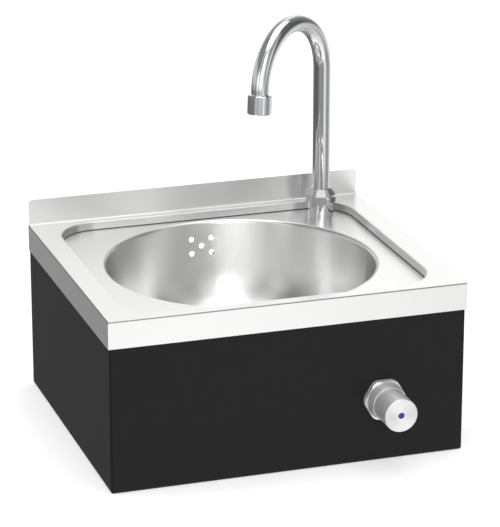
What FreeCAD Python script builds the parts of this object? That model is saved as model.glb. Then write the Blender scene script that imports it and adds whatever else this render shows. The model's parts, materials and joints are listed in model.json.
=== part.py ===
import FreeCAD, Part
import math
import os

import Sketcher
from FreeCAD import Vector

# Wall-hung stainless hand wash sink with a push-button valve and a swivelling gooseneck spout.
# Frame: origin at the middle of the two upper wall slots, on the wall face; X to the right as seen
# by the user, Y into the wall, Z up. All lengths in millimetres, all angles in degrees.

# Driving dimensions: lengths in millimetres, angles in degrees
sizes = {
    # Folded stainless top
    "width": 400,
    "body_height": 193,
    "rim_above_fixings": 40,
    "top_sheet": 1.2,
    "band_height": 30,
    "band_edge_radius": 1.2,
    "upstand_height": 30,
    "upstand_inset": 1.5,
    "upstand_corner": 4,
    "upstand_fold": 2,
    "tray_front": 15,
    "tray_back": 12,
    "tray_side": 26,
    "tray_corner": 48,
    "tray_depth": 10,
    "tray_lip": 1.3,
    "deck_seal_height": 1,
    "deck_seal_width": 4,

    # Tray floor and pressed bowl
    "bowl_sheet": 1,
    "floor_lap": 8,
    "bowl_gap_front": 7,
    "bowl_gap_back": 8,
    "bowl_radius": 150,
    "bowl_depth": 114,
    "bowl_lip": 4,
    "bowl_corner": 65,
    "bowl_wall_angle": 5,
    "bowl_fall": 4,
    "seat_radius": 36,
    "seat_depth": 2.5,
    "seat_bevel": 2,
    "waste_hole": 23,
    "overflow_below_rim": 38.5,
    "overflow_hole": 3.25,
    "overflow_wide": 24,
    "overflow_high": 17,

    # Black skirt and wall rail
    "skirt_sheet": 1.5,
    "skirt_overlap": 18,
    "skirt_return": 12,
    "skirt_fold": 2.5,
    "back_flange": 25,
    "lower_fixing_hole": 3.5,
    "lower_fixing_height": 30,
    "rail_sheet": 2,
    "rail_below": 22,
    "rail_tab": 25,
    "rail_fold": 3,
    "slot_spacing": 280,
    "slot_length": 20,
    "slot_width": 9,
    "stud_radius": 2.5,
    "stud_length": 10,
    "stud_spread": 10,
    "stud_clearance": 0.3,
    "stud_nut_height": 4,
    "stud_nut_flats": 8,

    # Waste and overflow
    "waste_flange": 34,
    "waste_flange_height": 1.8,
    "waste_seal": 1.5,
    "waste_gasket": 3,
    "waste_collar": 21.5,
    "waste_collar_wall": 2,
    "waste_collar_length": 10,
    "grid_thickness": 1.5,
    "grid_drop": 1,
    "grid_hole": 2.4,
    "grid_inner_ring": 9,
    "grid_outer_ring": 15.6,
    "waste_screw_radius": 3,
    "waste_screw_head": 6,
    "waste_screw_length": 24,
    "cup_wall": 3,
    "cup_radius": 29,
    "cup_depth": 20,
    "cup_taper": 9,
    "tail_radius": 20.95,
    "tail_wall": 2.95,
    "tail_length": 24,
    "spider_rib": 3,
    "spider_boss": 5.5,
    "waste_spigot_reach": 50,
    "collector_radius": 22,
    "collector_depth": 14,
    "collector_plate": 4.5,
    "collector_wall": 2,
    "collector_rim": 4.5,
    "overflow_gasket": 2,
    "spigot_radius": 7,
    "spigot_wall": 1.8,
    "spigot_length": 18,
    "overflow_hose_wall": 2,
    "overflow_hose_bend": 30,
    "hose_overlap": 14,
    "clip_width": 7,
    "clip_thickness": 1.2,
    "clip_housing": 4.5,

    # Tap pillar and spout
    "tap_from_side": 60,
    "tap_from_back": 41.5,
    "pillar_radius": 14.5,
    "pillar_height": 17.5,
    "pillar_thread": 13,
    "pillar_top": 25,
    "pillar_bore": 9.05,
    "pillar_bore_depth": 16,
    "water_bore": 5,
    "shank_radius": 10.48,
    "shank_length": 38,
    "pillar_seal_height": 1.5,
    "pillar_seal_radius": 13,
    "shank_clearance": 0.5,
    "pillar_washer_radius": 17,
    "pillar_washer_height": 2.5,
    "lock_nut_flats": 27,
    "lock_nut_height": 8,
    "union_flats": 32,
    "union_corners": 34,
    "union_hex_height": 9.5,
    "union_cone_height": 7.5,
    "union_cone_top": 21.4,
    "union_turn": 10.2,
    "union_clearance": 0.3,
    "slip_washer": 0.5,
    "ferrule_collar": 12,
    "ferrule_height": 3.4,
    "ferrule_spigot": 9,
    "ferrule_bore": 6.5,
    "ferrule_gap": 0.1,
    "o_ring": 1.6,
    "o_ring_gap": 0.02,
    "ferrule_length": 14,
    "tube_radius": 10,
    "tube_wall": 1.2,
    "arch_start": 178,
    "arch_radius": 65,
    "arch_angle": 176.6,
    "spout_angle": 218.4,
    "outlet_straight": 6,
    "aerator_radius": 13.5,
    "aerator_length": 21.7,
    "aerator_grip": 8,
    "aerator_chamber": 11.5,
    "aerator_seal": 2,
    "aerator_lip": 1.5,
    "aerator_edge": 0.8,
    "jet_hole": 0.9,

    # Push-button valve; its own axis points at the user, lengths are from the skirt's front face
    "valve_from_side": 94,
    "valve_below_rim": 121.6,
    "collar_flats": 43,
    "collar_corner": 23.4,
    "collar_hex": 6.8,
    "collar_length": 20,
    "collar_shoulder": 21.3,
    "collar_front": 19.5,
    "collar_web": 5,
    "button_radius": 18.5,
    "button_front": 53.2,
    "button_gap": 0.3,
    "button_travel": 6,
    "button_end_gap": 1,
    "button_wall": 4,
    "button_edge": 0.8,
    "button_boss": 6,
    "button_boss_length": 7,
    "sleeve_radius": 15,
    "sleeve_bore": 11,
    "sleeve_front": 30,
    "sliding_gap": 0.05,
    "panel_clearance": 0.3,
    "valve_washer": 1.5,
    "shoulder_radius": 19,
    "shoulder_length": 3,
    "gland_front": 4,
    "gland_back": 8,
    "chamber_radius": 14,
    "chamber_bore": 10,
    "seat_wall": 3,
    "outlet_chamber": 18,
    "inlet_chamber": 21,
    "port_bore": 5.5,
    "outlet_axis": 18,
    "outlet_reach": 26,
    "thread_half_inch": 10.48,
    "nipple_bore": 7,
    "nipple_plug": 6,
    "nipple_flats": 26,
    "nipple_hex": 6.5,
    "nipple_thread": 12,
    "elbow_radius": 11.5,
    "elbow_bend": 13,
    "elbow_run": 14.5,
    "elbow_leg": 18,
    "thread_chamfer": 1,
    "fibre_seal": 1.5,
    "filter_depth": 6,
    "stem_radius": 3,
    "spring_collar": 9.5,
    "stem_collar": 5,
    "stem_collar_length": 2,
    "cup_length": 4,
    "cup_gap": 0.3,
    "cup_from_sleeve_front": 2,
    "disc_radius": 8,
    "disc_length": 4,
    "disc_gap": 0.1,
    "spring_wire": 1.4,
    "spring_radius": 8,
    "spring_turns": 5,
    "index_radius": 3.5,
    "index_height": 1,
    "screw_radius": 1.6,
    "screw_head": 3.2,
    "screw_head_height": 1.5,
    "screw_length": 10,

    # Feed hose from the valve to the pillar
    "hose_radius": 6,
    "hose_bore": 4,
    "hose_bend": 26,
    "hose_nut_flats": 24,
    "hose_nut_length": 14,
    "hose_nut_thread": 11,
    "crimp_radius": 7.2,
    "crimp_length": 14,
    "hose_turn": 54,
    "hose_seal": 2,
}

doc = FreeCAD.newDocument("hand_wash_sink")
sheet = doc.addObject("Spreadsheet::Sheet", "size")
for row, (alias, size) in enumerate(sizes.items(), start=1):
    sheet.set(f"A{row}", alias)
    sheet.set(f"B{row}", str(size))
    sheet.setAlias(f"B{row}", alias)
doc.recompute()
subparts = []

# Levels and places that several pieces share, as formulas of the driving dimensions
RIM = "size.rim_above_fixings"
FLOOR_TOP = "(size.rim_above_fixings - size.tray_depth)"
SKIRT_BOTTOM = "(size.rim_above_fixings - size.body_height)"
DEPTH = "(size.tray_front + size.bowl_gap_front + 2 * size.bowl_radius + size.bowl_gap_back + size.tray_back)"
BOWL_Y = "(-size.bowl_radius - size.bowl_gap_back - size.tray_back)"
SEAT_DROP = "(size.bowl_depth + size.bowl_fall + size.seat_depth)"
SKIRT_INSIDE = "(size.width / 2 - size.top_sheet - size.skirt_sheet)"
TAP_X = "(size.width / 2 - size.tap_from_side)"
TAP_Y = "(-size.tap_from_back)"
VALVE_X = "(size.width / 2 - size.valve_from_side)"
VALVE_Y = f"(size.top_sheet - {DEPTH})"
VALVE_Z = "(size.rim_above_fixings - size.valve_below_rim)"
WALL_SLOPE = "tan(size.bowl_wall_angle)"
OVERFLOW_DROP = "(size.overflow_below_rim - size.tray_depth)"
BOWL_OUTSIDE = "(size.bowl_radius + size.bowl_sheet / cos(size.bowl_wall_angle))"
OVERFLOW_WALL = f"({BOWL_OUTSIDE} - {OVERFLOW_DROP} * {WALL_SLOPE})"
SPIGOT_DROP = "(size.bowl_sheet + size.waste_gasket + size.cup_wall + size.cup_depth / 2)"
SPIGOT_Y = f"({OVERFLOW_WALL} + size.overflow_gasket + size.collector_depth - size.spigot_radius)"
OVERFLOW_HOSE = "(size.spigot_radius + size.overflow_hose_wall)"
FERRULE_FOOT = "(size.pillar_top + size.slip_washer + size.ferrule_gap)"
TUBE_FOOT = f"({FERRULE_FOOT} + 1)"
GLAND_BACK = "(-size.gland_back)"
SEAT_FRONT = "(-size.gland_back - size.outlet_chamber)"
SEAT_BACK = f"({SEAT_FRONT} - size.seat_wall)"
VALVE_BACK = f"({SEAT_BACK} - size.inlet_chamber)"
SPRING_TOP = "(size.sleeve_front - size.cup_from_sleeve_front - size.cup_length - size.stem_collar_length)"
CUP_BACK = f"({SPRING_TOP} + size.stem_collar_length)"
DISC_FRONT = f"({SEAT_BACK} - size.disc_gap)"
BUTTON_BACK = "(size.collar_web + size.button_end_gap + size.button_travel)"
BUTTON_WALL = "(size.button_front - size.button_wall)"
INDEX_FLOOR = "(size.button_front - size.index_height - size.screw_head_height)"
HOSE_SEAT = "(size.hose_seal + 2.5)"
HOSE_END = f"({HOSE_SEAT} + 4.5)"


def value(formula):
    """Number that a formula of the sheet's names gives."""
    result = sheet.evalExpression(formula)
    return float(getattr(result, "Value", result))


def new_body(name):
    body = doc.addObject("PartDesign::Body", name)
    body.Label = name
    subparts.append(body)
    return body


def place(part, x="0", y="0", z="0", yaw="0", pitch="0", roll="0"):
    """Stand a piece at a place given by formulas."""
    turn = f"rotation({yaw}; {pitch}; {roll})"
    part.setExpression("Placement", f"placement(vector({x}; {y}; {z}); {turn})")


def new_sketch(body, plane, name, height="0"):
    """Sketch on one of the body's own planes, lifted along that plane's normal."""
    sketch = body.newObject("Sketcher::SketchObject", name)
    origin_plane = next(f for f in body.Origin.OriginFeatures if f.Role == plane)
    sketch.AttachmentSupport = [(origin_plane, "")]
    sketch.MapMode = "FlatFace"
    sketch.setExpression("AttachmentOffset.Base.z", height)
    return sketch


def tie_point(sketch, geometry, end, x, y):
    """Hold a point of the sketch at a place given by two formulas."""
    across = sketch.addConstraint(Sketcher.Constraint("DistanceX", -1, 1, geometry, end, value(x)))
    up = sketch.addConstraint(Sketcher.Constraint("DistanceY", -1, 1, geometry, end, value(y)))
    sketch.setExpression(f"Constraints[{across}]", x)
    sketch.setExpression(f"Constraints[{up}]", y)


def draw_circle(sketch, x, y, radius):
    circle = Part.Circle(Vector(value(x), value(y), 0), Vector(0, 0, 1), value(radius))
    index = sketch.addGeometry(circle, False)
    tie_point(sketch, index, 3, x, y)
    held = sketch.addConstraint(Sketcher.Constraint("Radius", index, value(radius)))
    sketch.setExpression(f"Constraints[{held}]", radius)


def round_corner(before, corner, after, radius):
    """Tangent points and centre of the arc that rounds a corner."""
    back = (before - corner).normalize()
    ahead = (after - corner).normalize()
    half = back.getAngle(ahead) / 2
    reach = radius / math.tan(half)
    centre = corner + (back + ahead).normalize() * (radius / math.sin(half))
    return corner + back * reach, corner + ahead * reach, centre


def draw_outline(sketch, corners, closed=True):
    """Outline through corners (x, y) or (x, y, rounding radius), all given as formulas."""
    points = [Vector(value(c[0]), value(c[1]), 0) for c in corners]
    count = len(points)
    last_corner = count - 1
    enters = list(points)
    leaves = list(points)
    arcs = {}
    for i, corner in enumerate(corners):
        if len(corner) < 3:
            continue
        neighbours = points[i - 1], points[(i + 1) % count]
        radius = value(corner[2])
        enters[i], leaves[i], centre = round_corner(neighbours[0], points[i], neighbours[1], radius)
        left_turn = (points[i] - neighbours[0]).cross(neighbours[1] - points[i]).z > 0
        first, last = (enters[i], leaves[i]) if left_turn else (leaves[i], enters[i])
        start = math.atan2(first.y - centre.y, first.x - centre.x)
        end = math.atan2(last.y - centre.y, last.x - centre.x)
        circle = Part.Circle(centre, Vector(0, 0, 1), radius)
        arc = sketch.addGeometry(Part.ArcOfCircle(circle, start, end), False)
        arcs[i] = (arc, 1, 2) if left_turn else (arc, 2, 1)
    lines = []
    for i in range(count if closed else last_corner):
        line = Part.LineSegment(leaves[i], enters[(i + 1) % count])
        lines.append(sketch.addGeometry(line, False))
    for i, corner in enumerate(corners):
        if not closed and i in (0, last_corner):
            tie_point(sketch, lines[0] if i == 0 else lines[-1], 1 if i == 0 else 2, corner[0], corner[1])
            continue
        line_in, line_out = lines[i - 1], lines[i]
        if i not in arcs:
            sketch.addConstraint(Sketcher.Constraint("Coincident", line_in, 2, line_out, 1))
            tie_point(sketch, line_out, 1, corner[0], corner[1])
            continue
        arc, arc_enter, arc_leave = arcs[i]
        sketch.addConstraint(Sketcher.Constraint("Tangent", line_in, 2, arc, arc_enter))
        sketch.addConstraint(Sketcher.Constraint("Tangent", arc, arc_leave, line_out, 1))
        held = sketch.addConstraint(Sketcher.Constraint("Radius", arc, value(corner[2])))
        sketch.setExpression(f"Constraints[{held}]", corner[2])
        tip = sketch.addGeometry(Part.Point(points[i]), True)
        sketch.addConstraint(Sketcher.Constraint("PointOnObject", tip, 1, line_in))
        sketch.addConstraint(Sketcher.Constraint("PointOnObject", tip, 1, line_out))
        tie_point(sketch, tip, 1, corner[0], corner[1])


def box_corners(left, right, low, high, radius=None):
    """Corners of a rectangle, with every corner rounded when a radius is given."""
    corners = [(left, low), (right, low), (right, high), (left, high)]
    return [corner + (radius,) for corner in corners] if radius else corners


def hexagon_corners(flats):
    """Corners of a regular hexagon with two flats across the X axis."""
    side = f"{flats} / 2 / cos(30)"
    return [(f"{side} * cos({60 * k + 30})", f"{side} * sin({60 * k + 30})") for k in range(6)]


def ring_corners(inner, outer, low, high):
    """Section of a plain ring, for turning about the vertical axis."""
    return [(inner, low), (outer, low), (outer, high), (inner, high)]


def pad(body, sketch, length, backwards=False, name="Pad"):
    feature = body.newObject("PartDesign::Pad", name)
    feature.Profile = sketch
    feature.setExpression("Length", length)
    feature.Reversed = backwards
    doc.recompute()
    return feature


def pocket(body, sketch, length=None, backwards=False, name="Pocket"):
    """Cut a sketch away, to a depth or right through; it has to remove something."""
    before = body.Shape.Volume
    feature = body.newObject("PartDesign::Pocket", name)
    feature.Profile = sketch
    feature.Reversed = backwards
    if length:
        feature.setExpression("Length", length)
    else:
        feature.Type = "ThroughAll"
    doc.recompute()
    check_cut(body, feature, before)
    return feature


def check_cut(body, feature, before):
    if body.Shape.Volume > before - 1e-3:
        raise RuntimeError(f"{body.Label}: {feature.Label} cuts nothing")


def turn_up(body, sketch, name="Revolution"):
    """Add the sketch turned a full circle about its own vertical axis."""
    feature = body.newObject("PartDesign::Revolution", name)
    feature.Profile = sketch
    feature.ReferenceAxis = (sketch, ["V_Axis"])
    feature.Angle = 360
    doc.recompute()
    return feature


def turn_away(body, sketch, name="Groove"):
    """Remove the sketch turned a full circle about its own vertical axis."""
    before = body.Shape.Volume
    feature = body.newObject("PartDesign::Groove", name)
    feature.Profile = sketch
    feature.ReferenceAxis = (sketch, ["V_Axis"])
    feature.Angle = 360
    doc.recompute()
    check_cut(body, feature, before)
    return feature


def ring_array(body, feature, count, name="PolarPattern"):
    """Repeat a feature evenly about the body's vertical axis."""
    pattern = body.newObject("PartDesign::PolarPattern", name)
    pattern.Originals = [feature]
    axis = next(f for f in body.Origin.OriginFeatures if f.Role == "Z_Axis")
    pattern.Axis = (axis, [""])
    pattern.Angle = 360
    pattern.Occurrences = count
    body.Tip = pattern
    doc.recompute()
    return pattern


def chosen_edges(feature, wanted):
    """Names of the feature's edges whose own box passes a test."""
    return [f"Edge{i + 1}" for i, edge in enumerate(feature.Shape.Edges) if wanted(edge.BoundBox)]


def round_edges(body, wanted, radius, name="Fillet"):
    """Fillet the edges that pass a test on their box, in the body's own axes."""
    base = body.Tip
    names = chosen_edges(base, wanted)
    if not names:
        raise RuntimeError(f"{body.Label}: no edge for {name}")
    feature = body.newObject("PartDesign::Fillet", name)
    feature.Base = (base, names)
    feature.setExpression("Radius", radius)
    doc.recompute()
    return feature


def chamfer_edges(body, wanted, size, name="Chamfer"):
    """Chamfer the edges that pass a test on their box, in the body's own axes."""
    base = body.Tip
    names = chosen_edges(base, wanted)
    if not names:
        raise RuntimeError(f"{body.Label}: no edge for {name}")
    feature = body.newObject("PartDesign::Chamfer", name)
    feature.Base = (base, names)
    feature.setExpression("Size", size)
    doc.recompute()
    return feature


def near(a, b):
    return abs(a - b) < 1e-3


def level(z):
    """Test for edges that lie flat at one height."""
    return lambda box: near(box.ZMin, z) and near(box.ZMax, z)


def circle_at(z, radius):
    """Test for round edges of one radius at one height."""
    at_level = level(z)
    return lambda box: at_level(box) and near(box.XMax, radius) and near(box.XMin, -radius)


def turned(name, corners, **where):
    """Piece that is one outline turned about its own axis."""
    body = new_body(name)
    sketch = new_sketch(body, "XZ_Plane", f"{name}_section")
    draw_outline(sketch, corners)
    turn_up(body, sketch)
    place(body, **where)
    return body


def hex_nut(name, flats, low, length, bore, corner=None, **where):
    """Hexagonal nut, its corners turned down to a circle."""
    body = new_body(name)
    outline = new_sketch(body, "XY_Plane", f"{name}_hexagon", low)
    draw_outline(outline, hexagon_corners(flats))
    draw_circle(outline, "0", "0", bore)
    pad(body, outline, length)
    crown_corners(body, flats, low, length, corner or f"{flats} * 0.55")
    place(body, **where)
    return body


def crown_corners(body, flats, low, length, turned_corner):
    """Turn a hexagon's corners down to a circle and chamfer them at both ends."""
    reach = f"{flats} * 0.6"
    top = f"{low} + {length}"
    crown = new_sketch(body, "XZ_Plane", f"{body.Label}_crown")
    chamfer = f"({flats} * 0.03)"
    draw_outline(crown, [
        (f"{turned_corner} - {chamfer}", f"{low} - 1"),
        (f"{turned_corner} - {chamfer}", low),
        (turned_corner, f"{low} + {chamfer} / 2"),
        (turned_corner, f"{top} - {chamfer} / 2"),
        (f"{turned_corner} - {chamfer}", top),
        (f"{turned_corner} - {chamfer}", f"{top} + 1"),
        (reach, f"{top} + 1"),
        (reach, f"{low} - 1"),
    ])
    turn_away(body, crown)


def sweep_section(body, section, path, name="Pipe"):
    """Carry a section along a path sketch."""
    feature = body.newObject("PartDesign::AdditivePipe", name)
    feature.Profile = section
    feature.Spine = (path, [f"Edge{i + 1}" for i in range(len(path.Shape.Edges))])
    doc.recompute()
    return feature


# ---------------------------------------------------------------- folded top, bowl and skirt


def tray_outline(grow, front, back):
    """Rounded outline of the tray, grown outwards, with the given front and back edges."""
    side = f"(size.width / 2 - size.tray_side + {grow})"
    return box_corners(f"-{side}", side, f"{front} - {grow}", f"{back} + {grow}",
                       f"size.tray_corner + {grow}")


def top_frame():
    """Rim, bands, tray wall and upstand, folded and welded from one sheet."""
    body = new_body("top_frame")
    half = "size.width / 2"
    tray = (f"-{DEPTH} + size.tray_front", "-size.tray_back")
    blank = new_sketch(body, "XY_Plane", "rim_blank", "-size.band_height")
    draw_outline(blank, box_corners(f"-{half}", half, f"-{DEPTH}", "0"))
    pad(body, blank, "size.band_height")
    inside = f"({half} - size.top_sheet)"
    under = new_sketch(body, "XY_Plane", "underside", "-size.band_height")
    draw_outline(under, box_corners(f"-{inside}", inside, f"-{DEPTH} + size.top_sheet", "size.tray_back"))
    pocket(body, under, "size.band_height - size.top_sheet", backwards=True)
    wall = new_sketch(body, "XY_Plane", "tray_wall", "-size.top_sheet")
    draw_outline(wall, tray_outline("size.top_sheet", *tray))
    pad(body, wall, "size.tray_depth - size.deck_seal_height - size.top_sheet", backwards=True)
    opening = new_sketch(body, "XY_Plane", "tray_opening")
    draw_outline(opening, tray_outline("0", *tray))
    pocket(body, opening)
    back = new_sketch(body, "XZ_Plane", "upstand")
    end = f"({half} - size.upstand_inset)"
    draw_outline(back, [
        (f"-{end}", "-size.top_sheet"),
        (end, "-size.top_sheet"),
        (end, "size.upstand_height", "size.upstand_corner"),
        (f"-{end}", "size.upstand_height", "size.upstand_corner"),
    ])
    pad(body, back, "size.top_sheet")
    thick = value("size.top_sheet")
    length = value("size.width") / 2
    front = -value(DEPTH)
    recess = length - value("size.tray_side")
    round_edges(body, lambda box: level(0)(box) and near(box.YMin, -thick) and near(box.YMax, -thick)
                and box.XLength > length, "size.upstand_fold", "upstand_fold")
    round_edges(body, lambda box: level(0)(box) and box.XMax < recess + 0.01 and box.XMin > -recess - 0.01
                and box.YMin > front + value("size.tray_front") - 0.01
                and box.YMax < -value("size.tray_back") + 0.01,
                "size.tray_lip", "tray_lip")
    round_edges(body, lambda box: level(0)(box) and (near(box.YMax, front)
                or near(box.XMin, length) or near(box.XMax, -length)),
                "size.band_edge_radius", "band_edge")
    place(body, z=RIM)


def deck_seal():
    """Bead between the foot of the tray wall and the tray floor."""
    body = new_body("deck_seal")
    tray = (f"-{DEPTH} + size.tray_front", "-size.tray_back")
    outline = new_sketch(body, "XY_Plane", "seal_outline")
    draw_outline(outline, tray_outline("size.deck_seal_width", *tray))
    draw_outline(outline, tray_outline("0", *tray))
    pad(body, outline, "size.deck_seal_height")
    place(body, z=FLOOR_TOP)


def bowl():
    """Tray floor with an upturned edge, pressed down into a round bowl with a seat for the waste."""
    body = new_body("bowl")
    tray = ("-size.bowl_radius - size.bowl_gap_front", "size.bowl_radius + size.bowl_gap_back")
    floor = new_sketch(body, "XY_Plane", "tray_floor", "-size.bowl_sheet")
    draw_outline(floor, tray_outline("size.floor_lap", *tray))
    pad(body, floor, "size.bowl_sheet")
    edge = new_sketch(body, "XY_Plane", "upturned_edge")
    draw_outline(edge, tray_outline("size.floor_lap", *tray))
    draw_outline(edge, tray_outline("(size.floor_lap - size.bowl_sheet)", *tray))
    pad(body, edge, "size.tray_depth - size.top_sheet")

    corner_outer = f"{BOWL_OUTSIDE} - (size.bowl_depth + size.bowl_sheet) * {WALL_SLOPE}"
    outside = new_sketch(body, "XZ_Plane", "bowl_outside")
    draw_outline(outside, [
        ("0", "-size.bowl_sheet / 2"),
        (f"{BOWL_OUTSIDE} - size.bowl_sheet / 2 * {WALL_SLOPE}", "-size.bowl_sheet / 2"),
        (corner_outer, "-size.bowl_depth - size.bowl_sheet", "size.bowl_corner + size.bowl_sheet"),
        ("size.seat_radius + size.bowl_sheet", "-size.bowl_depth - size.bowl_fall - size.bowl_sheet"),
        ("size.seat_radius - size.seat_bevel + size.bowl_sheet", f"-{SEAT_DROP} - size.bowl_sheet"),
        ("0", f"-{SEAT_DROP} - size.bowl_sheet"),
    ])
    turn_up(body, outside, "bowl_form")
    root = value(f"{BOWL_OUTSIDE} - size.bowl_sheet * {WALL_SLOPE}")
    round_edges(body, circle_at(-value("size.bowl_sheet"), root),
                "size.bowl_lip - size.bowl_sheet", "lip_underside")
    inside = new_sketch(body, "XZ_Plane", "bowl_inside")
    draw_outline(inside, [
        ("0", "size.bowl_sheet"),
        (f"size.bowl_radius + size.bowl_sheet * {WALL_SLOPE}", "size.bowl_sheet"),
        (f"size.bowl_radius - size.bowl_depth * {WALL_SLOPE}", "-size.bowl_depth", "size.bowl_corner"),
        ("size.seat_radius", "-size.bowl_depth - size.bowl_fall"),
        ("size.seat_radius - size.seat_bevel", f"-{SEAT_DROP}"),
        ("0", f"-{SEAT_DROP}"),
    ])
    turn_away(body, inside, "bowl_hollow")
    round_edges(body, circle_at(0, value("size.bowl_radius")), "size.bowl_lip", "lip")

    drain = new_sketch(body, "XY_Plane", "waste_hole", f"-{SEAT_DROP} + size.bowl_sheet")
    draw_circle(drain, "0", "0", "size.waste_hole")
    pocket(body, drain)
    tap = new_sketch(body, "XY_Plane", "tap_hole", "size.bowl_sheet")
    draw_circle(tap, TAP_X, f"-{BOWL_Y} - size.tap_from_back",
                "size.shank_radius + size.shank_clearance")
    pocket(body, tap)
    overflow = new_sketch(body, "XZ_Plane", "overflow_holes")
    middle = "size.tray_depth - size.overflow_below_rim"
    draw_circle(overflow, "0", middle, "size.overflow_hole")
    for across in (-1, 1):
        for up in (-1, 1):
            draw_circle(overflow, f"{across} * size.overflow_wide / 2",
                        f"{middle} + {up} * size.overflow_high / 2", "size.overflow_hole")
    pocket(body, overflow)
    place(body, y=BOWL_Y, z=FLOOR_TOP)


def skirt():
    """Painted front and sides with inward returns below, flanges at the wall and welded studs."""
    body = new_body("skirt")
    outer = "(size.width / 2 - size.top_sheet)"
    front = f"(size.top_sheet - {DEPTH})"
    height = "(size.body_height - size.band_height + size.skirt_overlap)"
    blank = new_sketch(body, "XY_Plane", "skirt_blank")
    draw_outline(blank, [
        (f"-{outer}", front, "size.skirt_fold"),
        (outer, front, "size.skirt_fold"),
        (outer, "0"),
        (f"-{outer}", "0"),
    ])
    pad(body, blank, height)
    round_edges(body, lambda box: level(0)(box) and not near(box.YMin, 0), "size.skirt_fold", "bottom_fold")
    room = new_sketch(body, "XY_Plane", "inside_room", height)
    draw_outline(room, box_corners(f"-{SKIRT_INSIDE}", SKIRT_INSIDE, f"{front} + size.skirt_sheet",
                                   "-size.skirt_sheet"))
    pocket(body, room, f"{height} - size.skirt_sheet")
    below = new_sketch(body, "XY_Plane", "bottom_opening")
    lip = f"({outer} - size.skirt_return)"
    draw_outline(below, box_corners(f"-{lip}", lip, f"{front} + size.skirt_return", "size.skirt_sheet"))
    pocket(body, below, "size.skirt_sheet", backwards=True)
    behind = new_sketch(body, "XZ_Plane", "wall_side", "-size.skirt_sheet")
    flange = f"({outer} - size.back_flange)"
    rail_low = "(size.body_height - size.rim_above_fixings - size.rail_below)"
    draw_outline(behind, [
        (f"-{flange}", "-size.skirt_sheet"),
        (flange, "-size.skirt_sheet"),
        (flange, rail_low),
        (SKIRT_INSIDE, rail_low),
        (SKIRT_INSIDE, f"{height} + size.skirt_sheet"),
        (f"-{SKIRT_INSIDE}", f"{height} + size.skirt_sheet"),
        (f"-{SKIRT_INSIDE}", rail_low),
        (f"-{flange}", rail_low),
    ])
    pocket(body, behind, "2 * size.skirt_sheet + 0.5", backwards=True)
    hole = new_sketch(body, "XZ_Plane", "valve_hole", f"-{front} - 2 * size.skirt_sheet")
    draw_circle(hole, VALVE_X, "size.body_height - size.valve_below_rim",
                "size.sleeve_radius + size.panel_clearance")
    pocket(body, hole, backwards=True)
    fixing = new_sketch(body, "XZ_Plane", "lower_fixings", "2 * size.skirt_sheet")
    for side in ("-1", "1"):
        draw_circle(fixing, f"{side} * ({outer} - size.back_flange / 2)", "size.lower_fixing_height",
                    "size.lower_fixing_hole")
    pocket(body, fixing)
    middle = "(size.body_height - size.rim_above_fixings)"
    for side, backwards in (("-1", False), ("1", True)):
        studs = new_sketch(body, "YZ_Plane", "studs", f"{side} * {SKIRT_INSIDE}")
        for up in (-1, 1):
            draw_circle(studs, "-size.rail_tab / 2",
                        f"{middle} + {up} * size.stud_spread - size.rail_below / 4", "size.stud_radius")
        pad(body, studs, "size.stud_length", backwards)
    place(body, z=SKIRT_BOTTOM)


def rear_rail():
    """Folded rail that the sink hangs on, with two slots for the wall screws."""
    body = new_body("rear_rail")
    side = SKIRT_INSIDE
    inner = f"({side} - size.rail_sheet)"
    plan = new_sketch(body, "XY_Plane", "rail_plan", "-size.rail_below")
    draw_outline(plan, [
        (f"-{side}", "0", "size.rail_fold"),
        (f"-{side}", "-size.rail_tab"),
        (f"-{inner}", "-size.rail_tab"),
        (f"-{inner}", "-size.rail_sheet", "size.rail_fold - size.rail_sheet"),
        (inner, "-size.rail_sheet", "size.rail_fold - size.rail_sheet"),
        (inner, "-size.rail_tab"),
        (side, "-size.rail_tab"),
        (side, "0", "size.rail_fold"),
    ])
    pad(body, plan, "size.rail_below + size.rim_above_fixings - size.top_sheet")
    slots = new_sketch(body, "XZ_Plane", "wall_slots", "2 * size.rail_sheet")
    for side_sign in ("-1", "1"):
        centre = f"{side_sign} * size.slot_spacing / 2"
        draw_outline(slots, box_corners(
            f"{centre} - size.slot_length / 2", f"{centre} + size.slot_length / 2",
            "-size.slot_width / 2", "size.slot_width / 2", "size.slot_width / 2 - 0.001"))
    pocket(body, slots)
    holes = new_sketch(body, "YZ_Plane", "stud_holes", "-size.width / 2")
    for up in (-1, 1):
        draw_circle(holes, "-size.rail_tab / 2", f"{up} * size.stud_spread - size.rail_below / 4",
                    "size.stud_radius + size.stud_clearance")
    pocket(body, holes, backwards=True)
    place(body)


def rail_nuts():
    """Four nuts on the studs, as one group of separate solids."""
    nuts = []
    for side in (-1, 1):
        for up in (-1, 1):
            name = f"rail_nut_{len(nuts) + 1}"
            outer = doc.addObject("Part::Prism", f"{name}_hexagon")
            outer.Polygon = 6
            outer.setExpression("Circumradius", "size.stud_nut_flats / 2 / cos(30)")
            outer.setExpression("Height", "size.stud_nut_height")
            bore = doc.addObject("Part::Cylinder", f"{name}_bore")
            bore.setExpression("Radius", "size.stud_radius")
            bore.setExpression("Height", "size.stud_nut_height")
            nut = doc.addObject("Part::Cut", name)
            nut.Base = outer
            nut.Tool = bore
            face = f"{side} * ({SKIRT_INSIDE} - size.rail_sheet)"
            place(nut, x=face, y="-size.rail_tab / 2", z=f"{up} * size.stud_spread - size.rail_below / 4",
                  pitch=f"{-90 * side}")
            nuts.append(nut)
    group = doc.addObject("Part::Compound", "rail_nuts")
    group.Label = "rail_nuts"
    group.Links = nuts
    subparts.append(group)


# ---------------------------------------------------------------- waste and overflow


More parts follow.
